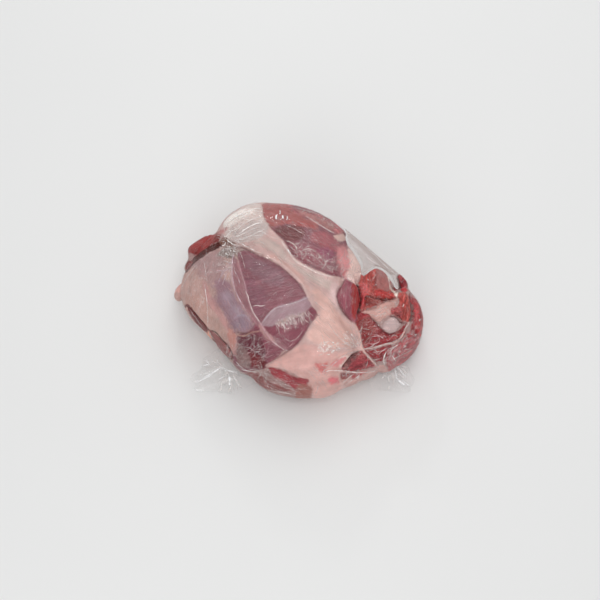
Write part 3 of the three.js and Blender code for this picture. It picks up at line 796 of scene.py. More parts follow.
# %% Clouds, streaks and fibres
# Broad clouds of lighter and darker meat, and long streaks and fine fibres along the grain.
clouds = add(tree, "ShaderNodeTexNoise", {"Vector": place, "Scale": 1 / MOTTLE, "Detail": 3})
streaks = add(tree, "ShaderNodeTexNoise", {"Vector": grain_at, "Scale": 1 / STREAK, "Detail": 3})
fibres = add(tree, "ShaderNodeTexNoise", {
    "Vector": grain_at, "Scale": 1 / FIBRE, "Detail": 4, "Roughness": 0.6})
look = shade_by(tint, 1.0, clouds, 0.9, 1.1)
look = shade_by(look, 1.0, streaks, 0.93, 1.07)
look = shade_by(look, is_lean, fibres, 0.82, 1.2)
print("the fibres are drawn", round(FIBRE / MM, 1), "mm wide")

# %% Meat that is cut across the grain
# A knife across the grain leaves ragged flecks, dark wet hollows and pale lines of fat between the bundles.
flecks = add(tree, "ShaderNodeTexNoise", {"Vector": place, "Scale": 1 / FLECK, "Detail": 3, "Roughness": 0.7})
look = shade_by(look, is_cut, streaks, 0.72, 1.28)
look = shade_by(look, is_cut, fibres, 0.7, 1.3)
look = shade_by(look, is_cut, flecks, 0.66, 1.34)
bent_place = add(tree, "ShaderNodeVectorMath", {
    0: flecks.outputs["Color"], 1: (2 * MM, 2 * MM, 2 * MM), 2: place}, operation="MULTIPLY_ADD")
bundles = add(tree, "ShaderNodeTexVoronoi", {"Vector": bent_place, "Scale": 1 / BUNDLE},
              feature="DISTANCE_TO_EDGE")
marbling = add(tree, "ShaderNodeMapRange", {
    "Value": bundles, "From Min": 0.02, "From Max": 0.14, "To Min": 0.4, "To Max": 0.0})
marbled = add(tree, "ShaderNodeMath", {0: marbling, 1: is_cut}, operation="MULTIPLY")
patches = add(tree, "ShaderNodeMapRange", {
    "Value": clouds, "From Min": 0.45, "From Max": 0.6, "To Min": 0.0, "To Max": 1.0})
marbled = add(tree, "ShaderNodeMath", {0: marbled, 1: patches}, operation="MULTIPLY")
look = add(tree, "ShaderNodeMix", {"Factor": marbled, "A": look, "B": linear("#CC928A")}, data_type="RGBA")
print("bundles of", round(BUNDLE / MM, 1), "mm are marbled with fat")

# %% Threads in the silverskin, relief and wetness
# Silverskin and fascia have thin pale threads along their pull.
threads = add(tree, "ShaderNodeTexNoise", {
    "Vector": grain_at, "Scale": 1 / THREAD, "Detail": 5, "Roughness": 0.7, "Distortion": 0.6})
thread_gap = add(tree, "ShaderNodeMath", {0: threads, 1: 0.5}, operation="SUBTRACT")
thread_gap = add(tree, "ShaderNodeMath", {0: thread_gap}, operation="ABSOLUTE")
thread_line = add(tree, "ShaderNodeMapRange", {
    "Value": thread_gap, "From Min": 0.0, "From Max": 0.03, "To Min": 0.35, "To Max": 0.0})
thread_line = add(tree, "ShaderNodeMath", {0: thread_line, 1: is_silver}, operation="MULTIPLY")
look = add(tree, "ShaderNodeMix", {"Factor": thread_line, "A": look, "B": linear("#DCC6C1")},
           data_type="RGBA")

height = add(tree, "ShaderNodeMath", {0: fibres, 1: is_lean}, operation="MULTIPLY")
height = add(tree, "ShaderNodeMath", {0: height, 1: thread_line}, operation="ADD")
height = add(tree, "ShaderNodeMath", {0: flecks, 1: is_cut, 2: height}, operation="MULTIPLY_ADD")
relief = add(tree, "ShaderNodeBump", {"Height": height, "Strength": 0.8, "Distance": HOLLOW})
# The film takes most of the shine, so the IOR is less than water's. Light goes in a little way, red furthest.
wetness = add(tree, "ShaderNodeMapRange", {
    "Value": clouds, "From Min": 0.3, "From Max": 0.7, "To Min": 0.36, "To Max": 0.52})
flesh = add(tree, "ShaderNodeBsdfPrincipled", {
    "Base Color": look, "Roughness": wetness, "Normal": relief, "IOR": 1.25, "Subsurface Weight": 0.05,
    "Subsurface Radius": (1.0, 0.4, 0.3), "Subsurface Scale": 2 * MM})
add(tree, "ShaderNodeOutputMaterial", {"Surface": flesh})
meat.data.materials.append(wet_meat)
print("the meat's material has", len(tree.nodes), "nodes")

# %% [markdown]
# ## The film
#
# The bag is a clear plastic film about a tenth of a millimetre thick. Where it lies on the meat it follows it but
# bridges the narrow clefts, and at the back right it hangs free over a gap. It starts as a second copy of the
# solid. A block is joined to it where the free film is stretched straight, a remesh makes one skin of the two,
# and a shrinkwrap lifts any of it that dips into the meat. The painted meat then shows through it.

# %% Draw the film over the meat
FILM_GRID = 2.0 * MM
FILM_GAP = 0.9 * MM
FILM_LOWEST = 0.3 * MM

# The free film, stretched in a straight line from the end of the upper muscle to the tip of the rim.
TAUT = [(54, 92), (124, 33), (129, 24), (124, 12), (112, 14), (104, 26), (92, 28), (76, 20), (64, 40), (54, 70)]
TAUT_LEVEL = -8  # millimetres in front of the middle of the view
TAUT_DEPTH = 11 * MM

film = whole_copy("bagged_knuckle", "clinging_film")
apply(film, "SUBSURF", levels=1, render_levels=1)
block(TAUT, TAUT_LEVEL, TAUT_DEPTH)  # which leaves it selected, to be joined to the film
film.select_set(True)
bpy.context.view_layer.objects.active = film
bpy.ops.object.join()
apply(film, "REMESH", mode="VOXEL", voxel_size=FILM_GRID)
apply(film, "SMOOTH", factor=0.5, iterations=EVENING)
for smoothing in (2, 2, 2, 0):
    apply(film, "SHRINKWRAP", target=meat, wrap_method="NEAREST_SURFACEPOINT", wrap_mode="OUTSIDE",
          offset=FILM_GAP)
    if smoothing:
        apply(film, "SMOOTH", factor=0.5, iterations=smoothing)
print("the film has", len(film.data.polygons), "faces")

# %% Crumple the film where it gathers
# Where the film gathers. Its folds run out from the nearest of these points.
GATHERS = [(-90, 76), (-84, 40), (-56, -86), (-90, -74), (76, -61), (112, -76), (20, -100), (60, 20)]

# How crumpled it is, and the outline of the crumpled part.
CRUMPLED = [
    (0.9, [(-104, 54), (-96, 70), (-98, 84), (-84, 84), (-70, 74), (-72, 58), (-84, 50)]),
    (0.5, [(-96, 86), (-92, 100), (-60, 116), (-44, 116), (-40, 94), (-30, 80), (-60, 68), (-84, 72)]),
    (0.5, [(-130, 32), (-118, 44), (-98, 54), (-80, 50), (-84, 20), (-110, 16), (-118, -20), (-134, 10)]),
    (0.5, [(-84, -46), (-48, -42), (-40, -72), (-44, -92), (-76, -100), (-110, -76), (-96, -60)]),
    (0.5, [(-60, -88), (-30, -86), (0, -104), (0, -150), (-80, -130)]),
    (0.8, [(50, -88), (90, -84), (110, -60), (126, -60), (134, -80), (110, -120), (56, -110)]),
    (0.4, [(-18, 74), (10, 68), (40, 48), (54, 30), (30, 34), (2, 48)]),
    (0.5, [(114, -50), (140, -30), (160, -40), (150, -80), (116, -84)]),
    (0.4, [(22, -48), (50, -48), (54, -66), (24, -72)]),
]

# The free film is painted a milky grey where it hangs clear of the meat, inside this outline.
MILKY = [
    (54, 98), (96, 70), (130, 38), (125, 26), (121, 8), (112, 14), (104, 28), (92, 32), (78, 26), (66, 48),
    (56, 74)]
MILKINESS = 0.48
SMOOTHEST = 0.15  # how crumpled the film is where nothing gathers it
CREASE_HEIGHT = 0.9  # millimetres
HANGS_CLEAR = (2, 6)  # millimetres above the meat, from where the film is not milky at all to where it fully is

# Noise in these coordinates is long outwards from a point and narrow round it, as gathered folds are.
OUTWARDS, ROUND = 0.1, 9

cover = places(film)
film_uv = seen(cover)
spread = np.full(len(cover), np.inf)
pull = np.zeros((len(cover), 3))
for middle in GATHERS:
    out = film_uv - middle
    away = np.hypot(*out.T)
    nearer = away < spread
    spread[nearer] = away[nearer]
    bearing = np.arctan2(out[:, 1], out[:, 0])
    polar = np.stack((OUTWARDS * away, ROUND * np.cos(bearing), ROUND * np.sin(bearing)), 1)
    pull[nearer] = polar[nearer]
crumpled = np.full(len(cover), SMOOTHEST)
for amount, outline in CRUMPLED:
    crumpled = np.maximum(crumpled, amount * step(depth_inside(film_uv, outline), -4, 6))
wrinkle = 0.5 - np.abs(unevenness(pull, 2.2, 5))
cover += directions(film) * np.maximum(CREASE_HEIGHT * crumpled * wrinkle, 0)[:, None] * MM
put(film, cover, FILM_LOWEST)
keep(film, "pull", pull, "FLOAT_VECTOR")
keep(film, "crumpled", crumpled)
free = step(depth_inside(film_uv, MILKY), -2, 2)
under = -directions(film)
for i in np.flatnonzero(free):
    below = meat_surface.ray_cast(Vector(cover[i]), Vector(under[i]), (HANGS_CLEAR[1] + 1) * MM)[3]
    free[i] *= 1 if below is None else step(below / MM, *HANGS_CLEAR)
keep(film, "milky", MILKINESS * free)
alone(film)
bpy.ops.object.shade_smooth()
print("the film gathers to", len(GATHERS), "points")

# %% The film's material
# Clear film shows itself only by what it reflects, more at a slant, by fine white creases and by a faint haze.
# The white of the creases is partly a painted highlight.
RIPPLE = 3 * MM
PATCH = 9 * MM
CREASE_DEPTH = 0.6 * MM

clear_film, tree = new_material("clear_vacuum_film")
place = add(tree, "ShaderNodeTexCoord").outputs["Object"]
pulled = add(tree, "ShaderNodeAttribute", attribute_name="pull")
how_crumpled = add(tree, "ShaderNodeAttribute", attribute_name="crumpled")
ripples = add(tree, "ShaderNodeTexNoise", {
    "Vector": place, "Scale": 1 / RIPPLE, "Detail": 3, "Distortion": 1.0})
creases = add(tree, "ShaderNodeTexNoise", {
    "Vector": pulled, "Scale": 0.6, "Detail": 3, "Roughness": 0.6, "Distortion": 0.8})
crease_gap = add(tree, "ShaderNodeMath", {0: creases, 1: 0.5}, operation="SUBTRACT")
crease_gap = add(tree, "ShaderNodeMath", {0: crease_gap}, operation="ABSOLUTE")
crease_line = add(tree, "ShaderNodeMapRange", {
    "Value": crease_gap, "From Min": 0.0, "From Max": 0.05, "To Min": 1.0, "To Max": 0.0})
# Partly painted highlight: a diffuse white along the creases.
crease_white = add(tree, "ShaderNodeMath", {0: crease_line, 1: how_crumpled}, operation="MULTIPLY")
patches = add(tree, "ShaderNodeTexNoise", {"Vector": place, "Scale": 1 / PATCH, "Detail": 2})
patches = add(tree, "ShaderNodeMapRange", {
    "Value": patches, "From Min": 0.42, "From Max": 0.62, "To Min": 0.0, "To Max": 0.6})
crease_white = add(tree, "ShaderNodeMath", {0: crease_white, 1: patches}, operation="MULTIPLY")
how_milky = add(tree, "ShaderNodeAttribute", attribute_name="milky")
crease_white = add(tree, "ShaderNodeMath", {0: crease_white, 1: how_milky}, operation="MAXIMUM")
surface = add(tree, "ShaderNodeMath", {0: crease_line, 1: ripples}, operation="ADD")
surface = add(tree, "ShaderNodeMath", {0: surface, 1: how_crumpled}, operation="MULTIPLY")
surface_relief = add(tree, "ShaderNodeBump", {"Height": surface, "Strength": 0.6, "Distance": CREASE_DEPTH})
slant = add(tree, "ShaderNodeLayerWeight", {"Blend": 0.5, "Normal": surface_relief}).outputs["Facing"]
slant = add(tree, "ShaderNodeMath", {0: slant, 1: 4.0}, operation="POWER")
slant = add(tree, "ShaderNodeMapRange", {"Value": slant, "To Min": 0.012, "To Max": 0.09})
see_through = add(tree, "ShaderNodeBsdfTransparent", {"Color": linear("#FFFFFF")})
gloss = add(tree, "ShaderNodeBsdfGlossy", {"Roughness": 0.07, "Normal": surface_relief})
milkiness = add(tree, "ShaderNodeMapRange", {"Value": how_milky, "From Max": 0.3})
haze_colour = add(tree, "ShaderNodeMix", {
    "Factor": milkiness, "A": linear("#F4EEEA"), "B": linear("#BEAEA8")}, data_type="RGBA")
haze = add(tree, "ShaderNodeBsdfDiffuse", {"Color": haze_colour})
film_look = add(tree, "ShaderNodeMixShader", {"Fac": slant, 1: see_through, 2: gloss})
film_look = add(tree, "ShaderNodeMixShader", {"Fac": crease_white, 1: film_look, 2: haze})
add(tree, "ShaderNodeOutputMaterial", {"Surface": film_look})
film.data.materials.append(clear_film)
print("the film's material has", len(tree.nodes), "nodes")

# %% [markdown]
# ## Threads in the meat and folds in the film
#
# Fine pale threads of connective tissue lie on the muscles. Over them, the film can't shrink, so the spare of it
# gathers in small folds. Their white is partly the scatter of a sharp crease and partly a painted highlight, and
# the short wet glints among them are painted highlights. All are narrow strips with a raised middle that follow a
# line on the meat or on the film. The lines that stand out are placed one by one, and fans and fields of finer
# ones are drawn at random, all with one seed.

# %% Lay strips on a surface
EYE = Vector(VIEW_MIDDLE + AXES[2] * VIEW_DISTANCE)
STEEPEST = -0.25  # a strip ends where the surface is seen at a sharper slant than this
FOOT = 0.1  # millimetres between a surface and the edge of a strip

film_surface = tree_of(film)


def behind_view(surface, uv_line):
    """Runs of places on a surface that lie behind a line in the view, with the surface's direction at each.

    A run ends where the surface turns away from the view, or drops back at the edge of a form."""
    runs = [[]]
    before = uv_line[0]
    for here in uv_line:
        aim = (from_view(*here, 0) - EYE).normalized()
        place, normal, _, _ = surface.ray_cast(EYE, aim)
        if place is None or normal.dot(aim) > STEEPEST:
            runs.append([])
            continue
        stride = 3 * np.hypot(*(here - before)) + 1
        if runs[-1] and (place - runs[-1][-1][0]).length > stride * MM:
            runs.append([])
        runs[-1].append((place, normal))
        before = here
    return [run for run in runs if len(run) > 3]


def crawl(surface, place, heading, length, bend):
    """Places on a surface along a bent line from a start, as an ant would walk it."""
    found = []
    stride = 2.5 * MM
    for _ in range(max(4, int(length * MM / stride))):
        place, normal, _, _ = surface.find_nearest(place)
        found.append((place, normal))
        heading = (heading - normal * heading.dot(normal)).normalized()
        heading = (heading + normal.cross(heading) * bend).normalized()
        place = place + heading * stride
    return found


print("a line's places on the film are found from", round(EYE.length, 2), "m away")

# %% Build one strip


def strip(mesh, run, half, height, strength, code, sway=0.7):
    """A strip with a raised middle, pointed ends and an uneven width along a run of places.

    Its half width, height and sway to the sides are in millimetres, and its strength is how well it covers."""
    seed = Vector((len(mesh.verts) * 0.37, half * 9, 0))  # another part of the noise for each strip
    shows, tints = mesh.verts.layers.float["show"], mesh.verts.layers.float_color["tint"]
    rows = []
    for i, (place, normal) in enumerate(run):
        ahead = run[min(i + 1, len(run) - 1)][0] - run[max(i - 1, 0)][0]
        side = ahead.cross(normal)
        if side.length < 1e-9:
            continue
        side.normalize()
        part = i / (len(run) - 1)
        taper = min(1, 4.5 * part + 0.1, 4.5 * (1 - part) + 0.1)
        taper *= 0.85 + 0.6 * noise.noise(place / (5 * MM) + seed)
        aside = sway * noise.noise(place / (4 * MM) - seed)
        row = []
        for across, up, show in ((-1, 0, 0), (-0.4, height, strength), (0.4, height, strength), (1, 0, 0)):
            offset = side * (across * half * taper + aside) + normal * (FOOT + up * taper)
            vertex = mesh.verts.new(place + offset * MM)
            vertex[shows] = show * taper
            vertex[tints] = code
            row.append(vertex)
        rows.append(row)
    for near, far in zip(rows, rows[1:]):
        for i in range(len(near) - 1):
            mesh.faces.new((near[i], near[i + 1], far[i + 1], far[i]))


def start_strips():
    """An empty mesh that strips can be laid in."""
    mesh = bmesh.new()
    mesh.verts.layers.float.new("show")
    mesh.verts.layers.float_color.new("tint")
    return mesh


def finish_strips(mesh, name):
    """The object that is made of all the strips in a mesh."""
    data = bpy.data.meshes.new(name)
    mesh.to_mesh(data)
    mesh.free()
    piece = bpy.data.objects.new(name, data)
    bpy.context.scene.collection.objects.link(piece)
    for face in data.polygons:
        face.use_smooth = True
    return piece


print("a strip is", round(FOOT, 1), "mm above what it lies on")

# %% Lines, fans and fields of strips


def along_line(mesh, surface, line, steps, half, height, strength, code, sway=0.7):
    """Strips along a line of the view. Half and strength are numbers, or functions that draw one for each run."""
    for run in behind_view(surface, curve(line, False, steps)):
        width = half() if callable(half) else half
        strip(mesh, run, width, height, strength() if callable(strength) else strength, code, sway)


def fan(mesh, surface, chance, spec, half_widths, strengths, code):
    """Bent strips that start round a point of the view and run out from it."""
    u, v, number, first, last, shortest, longest = spec
    for _ in range(number):
        bearing = math.radians(chance.uniform(first, last))
        reach = chance.uniform(shortest, longest)
        bend = chance.uniform(-0.6, 0.6)
        begin = chance.uniform(0.05, 0.4) * reach
        u0, v0 = u + chance.gauss(0, 2.5), v + chance.gauss(0, 2.5)
        line = []
        for part in (0, 0.25, 0.5, 0.75, 1):
            away = begin + part * reach
            turned = bearing + bend * part
            line.append((u0 + away * math.cos(turned), v0 + away * math.sin(turned)))
        along_line(mesh, surface, line, 4, lambda: chance.uniform(*half_widths), 0.3,
                   lambda: chance.uniform(*strengths), code)


def field(mesh, surface, chance, spec, half_widths, strengths, code):
    """Bent strips that start anywhere in an outline of the view and run roughly one way."""
    number, bearing, swing, shortest, longest, outline = spec
    low, high = np.min(outline, 0), np.max(outline, 0)
    for _ in range(number):
        u, v = chance.uniform(low[0], high[0]), chance.uniform(low[1], high[1])
        if depth_inside(np.array([[u, v]]), outline)[0] < 0:
            continue
        heading = math.radians(chance.gauss(bearing, swing))
        reach = chance.uniform(shortest, longest)
        bend = chance.gauss(0, 0.3 + 0.02 * swing)
        line = [(u, v)]
        for _ in range(4):
            u, v = u + reach / 4 * math.cos(heading), v + reach / 4 * math.sin(heading)
            heading += bend / 4 + chance.gauss(0, 0.08 + 0.005 * swing)
            line.append((u, v))
        along_line(mesh, surface, line, 3, lambda: chance.uniform(*half_widths), 0.25,
                   lambda: chance.uniform(*strengths), code)


print("strips are laid along lines, in fans and in fields")

# %% Threads of connective tissue on the meat
PALE, PINK, CREAM, LILAC = (linear(code) for code in ("#E6D0CC", "#D8A8A8", "#E9D9CF", "#D2B6BC"))

# Colour, strength, half width and the line in the view.
PLACED_THREADS = [
    (CREAM, 0.9, 1.2, [(-19, 75), (-12, 73), (-6, 69), (-3, 65), (-4, 60)]),
    (PALE, 0.7, 0.8, [(2, 60), (10, 64), (18, 62), (26, 54), (32, 46)]),
    (PALE, 0.6, 0.7, [(0, 57), (12, 58), (22, 52), (30, 44)]),
    (PALE, 0.6, 0.7, [(20, 46), (26, 54), (34, 46), (28, 40)]),
    (PALE, 0.5, 0.7, [(-2, 54), (8, 52), (18, 46), (26, 42)]),
    (PINK, 0.7, 0.8, [(36, 58), (44, 52), (40, 48), (46, 60)]),
    (PALE, 0.6, 0.6, [(-18, 94), (-8, 90), (4, 83), (8, 80)]),
    (PALE, 0.4, 0.6, [(8, 82), (18, 78), (24, 72)]),
    (LILAC, 0.9, 1.5, [(-80, 62), (-82, 54), (-83, 46), (-83, 36), (-82, 26)]),
    (LILAC, 0.8, 1.1, [(-83, 36), (-81, 20), (-77, 8), (-71, -4), (-63, -16)]),
    (LILAC, 0.8, 1.0, [(-82, 52), (-88, 44), (-94, 36), (-99, 26), (-99, 20)]),
    (LILAC, 0.8, 0.9, [(-83, 46), (-88, 36), (-92, 28), (-97, 12)]),
    (LILAC, 0.7, 0.9, [(-84, 42), (-90, 37), (-99, 37), (-107, 35)]),
    (LILAC, 0.7, 0.9, [(-82, 40), (-78, 34), (-75, 26), (-71, 14)]),
    (PINK, 0.6, 0.7, [(-110, 30), (-106, 36), (-97, 38)]),
    (PINK, 0.8, 0.8, [(-118, 22), (-116, 12), (-112, -4), (-106, -14)]),
    (PALE, 0.7, 0.8, [(-70, 20), (-63, 4), (-58, -12), (-52, -22), (-44, -32)]),
    (PALE, 0.6, 0.7, [(-60, -8), (-52, -6), (-46, -7), (-40, -5)]),
    (PALE, 0.5, 0.6, [(-46, -28), (-36, -14), (-24, -7), (-8, -4), (8, 4)]),
    (PALE, 0.8, 0.8, [(-34, -47), (-26, -56), (-18, -61), (-12, -62)]),
    (PINK, 0.5, 0.7, [(-48, -44), (-36, -52), (-24, -60)]),
    (PALE, 0.5, 0.6, [(-24, -40), (-12, -50), (0, -44), (6, -34)]),
    (CREAM, 0.7, 0.8, [(76, -34), (84, -36), (88, -36)]),
    (PINK, 0.7, 0.7, [(86, -44), (94, -42), (102, -45), (106, -50)]),
    (PINK, 0.7, 0.7, [(82, -50), (90, -54), (98, -52), (100, -46), (94, -44), (86, -47)]),
    (PINK, 0.7, 0.7, [(104, -42), (108, -46), (110, -50)]),
    (PALE, 0.6, 0.7, [(112, -47), (118, -43), (124, -46)]),
    (PINK, 0.6, 0.7, [(90, -62), (98, -66), (104, -62), (110, -58)]),
    (CREAM, 0.8, 0.8, [(108, 31), (112, 22), (116, 14), (121, 8)]),
    (CREAM, 0.7, 0.8, [(120, 6), (124, 0), (121, -7), (114, -12)]),
    (PALE, 0.6, 0.6, [(88, -10), (98, -14), (108, -10)]),
    (PALE, 0.6, 0.6, [(92, -20), (100, -18), (110, -14)]),
]

# Strength range, half width range, then number, bearing and its swing in degrees, lengths and outline.
THREAD_FIELDS = [
    (PALE, (0.42, 0.85), (0.3, 0.52), (280, -62, 10, 7, 20, [
        (-24, -20), (4, -10), (10, -14), (-6, -22), (-22, -28), (-32, -30)])),
    (PALE, (0.34, 0.85), (0.24, 0.45), (210, 10, 70, 6, 18, [
        (-16, 72), (0, 66), (16, 64), (30, 54), (48, 36), (30, 37), (4, 48), (-6, 58)])),
    (PALE, (0.26, 0.77), (0.24, 0.42), (80, 10, 70, 4, 12, [(28, 50), (44, 58), (54, 46), (52, 32), (36, 34)])),
    (PALE, (0.26, 0.77), (0.3, 0.68), (70, -70, 30, 5, 14, [
        (48, 62), (58, 64), (70, 50), (74, 34), (62, 26), (52, 36)])),
    (PINK, (0.17, 0.51), (0.26, 0.45), (60, -10, 16, 5, 14, [
        (-74, 56), (-52, 56), (-26, 42), (0, 20), (8, 2), (-24, -6), (-46, -24), (-58, -10), (-68, 20)])),
    (PINK, (0.26, 0.77), (0.3, 0.6), (90, 28, 14, 6, 18, [
        (-70, -42), (-40, -36), (10, -16), (20, -20), (8, -42), (-12, -62), (-44, -84), (-66, -80)])),
    (PINK, (0.21, 0.68), (0.3, 0.6), (70, -24, 12, 8, 26, [
        (-40, 100), (-20, 114), (20, 106), (44, 84), (52, 62), (20, 66), (-14, 76), (-34, 90)])),
    (PALE, (0.34, 0.85), (0.3, 0.52), (220, 48, 10, 4, 9, [
        (0, 108), (14, 104), (28, 97), (42, 88), (54, 86), (46, 94), (30, 104), (8, 112)])),
    (CREAM, (0.17, 0.51), (0.3, 0.6), (60, -40, 9, 10, 40, [
        (-70, 74), (-44, 100), (-20, 72), (6, 42), (40, 28), (50, 10), (26, 4), (2, 24), (-30, 52)])),
    (CREAM, (0.17, 0.51), (0.3, 0.6), (30, -45, 9, 8, 24, [
        (20, -10), (44, 0), (66, -34), (74, -56), (40, -54), (14, -40)])),
    (PINK, (0.21, 0.59), (0.3, 0.6), (50, -62, 12, 8, 26, [
        (-106, 14), (-96, 24), (-84, 30), (-64, -6), (-56, -34), (-82, -34), (-98, -8)])),
    (PALE, (0.13, 0.42), (0.3, 0.52), (50, 84, 12, 6, 26, [
        (-128, 46), (-112, 58), (-92, 56), (-88, 36), (-112, 16), (-122, -18), (-140, 4)])),
    (PINK, (0.15, 0.45), (0.3, 0.5), (70, 80, 14, 5, 14, [
        (56, 20), (66, 18), (70, -8), (64, -20), (52, -8), (50, 8)])),
    (PINK, (0.34, 0.85), (0.3, 0.6), (70, 20, 60, 3, 8, [
        (74, -22), (88, -22), (104, -42), (126, -42), (104, -54), (82, -58), (74, -40)])),
    (PINK, (0.34, 0.85), (0.3, 0.68), (60, 40, 14, 5, 16, [
        (132, 4), (148, -10), (152, -38), (138, -62), (120, -70), (128, -50), (142, -24)])),
    (CREAM, (0.42, 0.85), (0.3, 0.68), (40, 15, 25, 4, 12, [
        (84, -14), (98, -6), (118, 0), (112, -14), (100, -24), (90, -22)])),
    (PINK, (0.26, 0.68), (0.3, 0.52), (50, 60, 30, 3, 9, [
        (76, 16), (92, 34), (104, 32), (112, 20), (118, 8), (96, 6), (80, -8)])),
]

SEED = 11
SLIMMER, STRONGER = 0.85, 1.3  # what the half widths and strengths of placed threads and folds are scaled by

chance = random.Random(SEED)
threads = start_strips()
for code, strength, half, line in PLACED_THREADS:
    along_line(threads, meat_surface, line, 6, SLIMMER * half, 0.3, min(1, STRONGER * strength), code)
for code, strengths, halves, spec in THREAD_FIELDS:
    field(threads, meat_surface, chance, spec, halves, strengths, code)
meat_threads = finish_strips(threads, "connective_threads")
print("the threads have", len(meat_threads.data.polygons), "faces")

# %% The folds of the film that stand out, and the fine ones
WHITE, MILK = linear("#F4EDE8"), linear("#E2D2CE")

# Strength, half width and the line in the view.
FOLDS = [
    (1.0, 1.1, [(-94, 82), (-91, 79), (-87, 83), (-82, 89)]),
    (1.0, 1.1, [(-89, 76), (-86, 81), (-82, 90)]),
    (0.9, 1.0, [(-93, 79), (-88, 74), (-82, 70), (-77, 68)]),
    (0.9, 1.3, [(-90, 73), (-92, 69), (-96, 68)]),
    (0.8, 1.2, [(-80, 87), (-79, 84), (-80, 81)]),
    (0.8, 0.9, [(-88, 88), (-84, 86), (-80, 88)]),
    (0.7, 0.9, [(-84, 76), (-74, 72), (-64, 66), (-54, 61), (-46, 58)]),
    (0.6, 0.8, [(-84, 76), (-66, 84), (-48, 93)]),
    (0.5, 0.8, [(-82, 74), (-60, 80), (-42, 81)]),
    (0.6, 0.9, [(-92, 82), (-91, 92), (-84, 101), (-74, 108)]),
    (0.5, 0.8, [(-91, 91), (-84, 92), (-74, 99), (-58, 104)]),
    (0.7, 1.1, [(-62, 112), (-52, 114), (-44, 112)]),
    (0.8, 1.5, [(-82, 76), (-70, 86), (-56, 94), (-44, 98)]),
    (0.6, 1.3, [(-82, 82), (-70, 94), (-56, 101), (-46, 104)]),
    (0.6, 1.1, [(-80, 74), (-66, 77), (-52, 84), (-40, 90)]),
    (0.8, 1.2, [(-88, 96), (-80, 103), (-68, 109), (-56, 112)]),
    (0.4, 0.6, [(-67, 90), (-50, 75), (-38, 67)]),
    (0.4, 0.6, [(-52, 88), (-36, 80), (-22, 74)]),
    (0.4, 0.7, [(-118, 50), (-116, 38), (-113, 18)]),
    (0.6, 0.8, [(-118, 24), (-115, 6), (-113, -14), (-113, -34), (-114, -50), (-112, -64)]),
    (0.35, 0.7, [(-122, 50), (-135, 34), (-144, 18), (-146, 4)]),
    (0.4, 0.7, [(-136, -10), (-126, -24), (-114, -40)]),
    (0.6, 0.8, [(-112, -36), (-104, -52), (-94, -68), (-84, -76), (-70, -84)]),
    (0.6, 0.8, [(-84, -70), (-76, -78), (-66, -86), (-52, -88)]),
    (0.7, 1.0, [(-100, -66), (-86, -74), (-72, -84), (-60, -88), (-48, -86)]),
    (0.6, 0.9, [(-94, -70), (-78, -84), (-64, -86), (-52, -84)]),
    (0.3, 0.6, [(-74, -60), (-64, -58), (-56, -62), (-48, -66), (-40, -76)]),
    (0.3, 0.6, [(-56, -62), (-44, -54), (-34, -50)]),
    (0.4, 0.6, [(-50, -72), (-46, -82), (-48, -92), (-54, -100)]),
    (0.5, 0.6, [(-54, -84), (-48, -92), (-52, -98)]),
    (0.4, 0.6, [(-44, -86), (-40, -94), (-42, -102)]),
    (0.5, 0.8, [(-66, -92), (-58, -102), (-40, -110), (-20, -114), (0, -118)]),
    (0.4, 0.7, [(-44, -104), (-24, -112), (-6, -116)]),
    (0.6, 0.7, [(80, -61), (96, -57), (110, -53), (124, -47), (132, -34), (138, -25)]),
    (0.6, 0.8, [(78, -62), (88, -72), (98, -82), (112, -92)]),
    (0.5, 0.8, [(75, -61), (60, -66), (48, -74), (34, -88)]),
    (0.6, 0.8, [(28, -94), (34, -88), (50, -87), (72, -89), (92, -88), (106, -82)]),
    (0.6, 0.8, [(52, -104), (62, -95), (70, -90)]),
    (0.6, 0.7, [(60, -102), (70, -96), (76, -91)]),
    (0.8, 1.0, [(120, -56), (110, -62), (105, -72), (107, -84)]),
    (0.7, 0.9, [(126, -52), (116, -60), (110, -68)]),
    (0.6, 0.8, [(113, -66), (120, -76), (114, -84)]),
    (0.6, 0.9, [(118, -72), (134, -64), (146, -56)]),
    (0.4, 0.6, [(56, -44), (62, -50), (66, -54)]),
    (0.4, 0.6, [(40, -34), (50, -46), (64, -58)]),
    (0.5, 0.6, [(32, -22), (48, -44), (64, -59)]),
    (0.4, 0.6, [(34, -14), (24, -6), (16, 2)]),
    (0.5, 0.8, [(57, 86), (70, 78), (90, 60), (108, 42), (123, 30)]),
    (0.3, 0.7, [(60, 74), (82, 58), (106, 38)]),
    (0.3, 0.7, [(70, 58), (84, 52), (100, 40)]),
    (0.5, 0.6, [(10, 104), (22, 97), (36, 87), (46, 82)]),
    (0.5, 0.7, [(130, 32), (136, 18), (144, 4)]),
]

# Painted highlights: wet glints drawn as bright white strips, short and wide. Strength, half width and the line.
GLINTS = [
    (1.0, 1.3, [(-28, 107), (-28.5, 103.5), (-28, 100)]),
    (1.0, 1.1, [(-24, 112), (-23.5, 109), (-24, 106.5)]),
    (1.0, 1.2, [(-20.5, 106), (-20, 103.5), (-19.5, 100.5)]),
    (0.9, 0.8, [(-15, 105.5), (-14.5, 103), (-14.5, 99.5)]),
    (1.0, 0.8, [(55, -40), (60, -45), (64, -50)]),
    (1.0, 0.8, [(60, -42), (65, -47), (68, -52)]),
    (0.9, 0.7, [(63, -41), (67, -45), (69, -49)]),
    (1.0, 0.9, [(-142, -14), (-138, -17), (-135, -19)]),
    (0.9, 0.9, [(-82, 101), (-76, 105), (-70, 108)]),
    (0.9, 0.7, [(-15, 64), (-12, 60), (-9, 56)]),
]

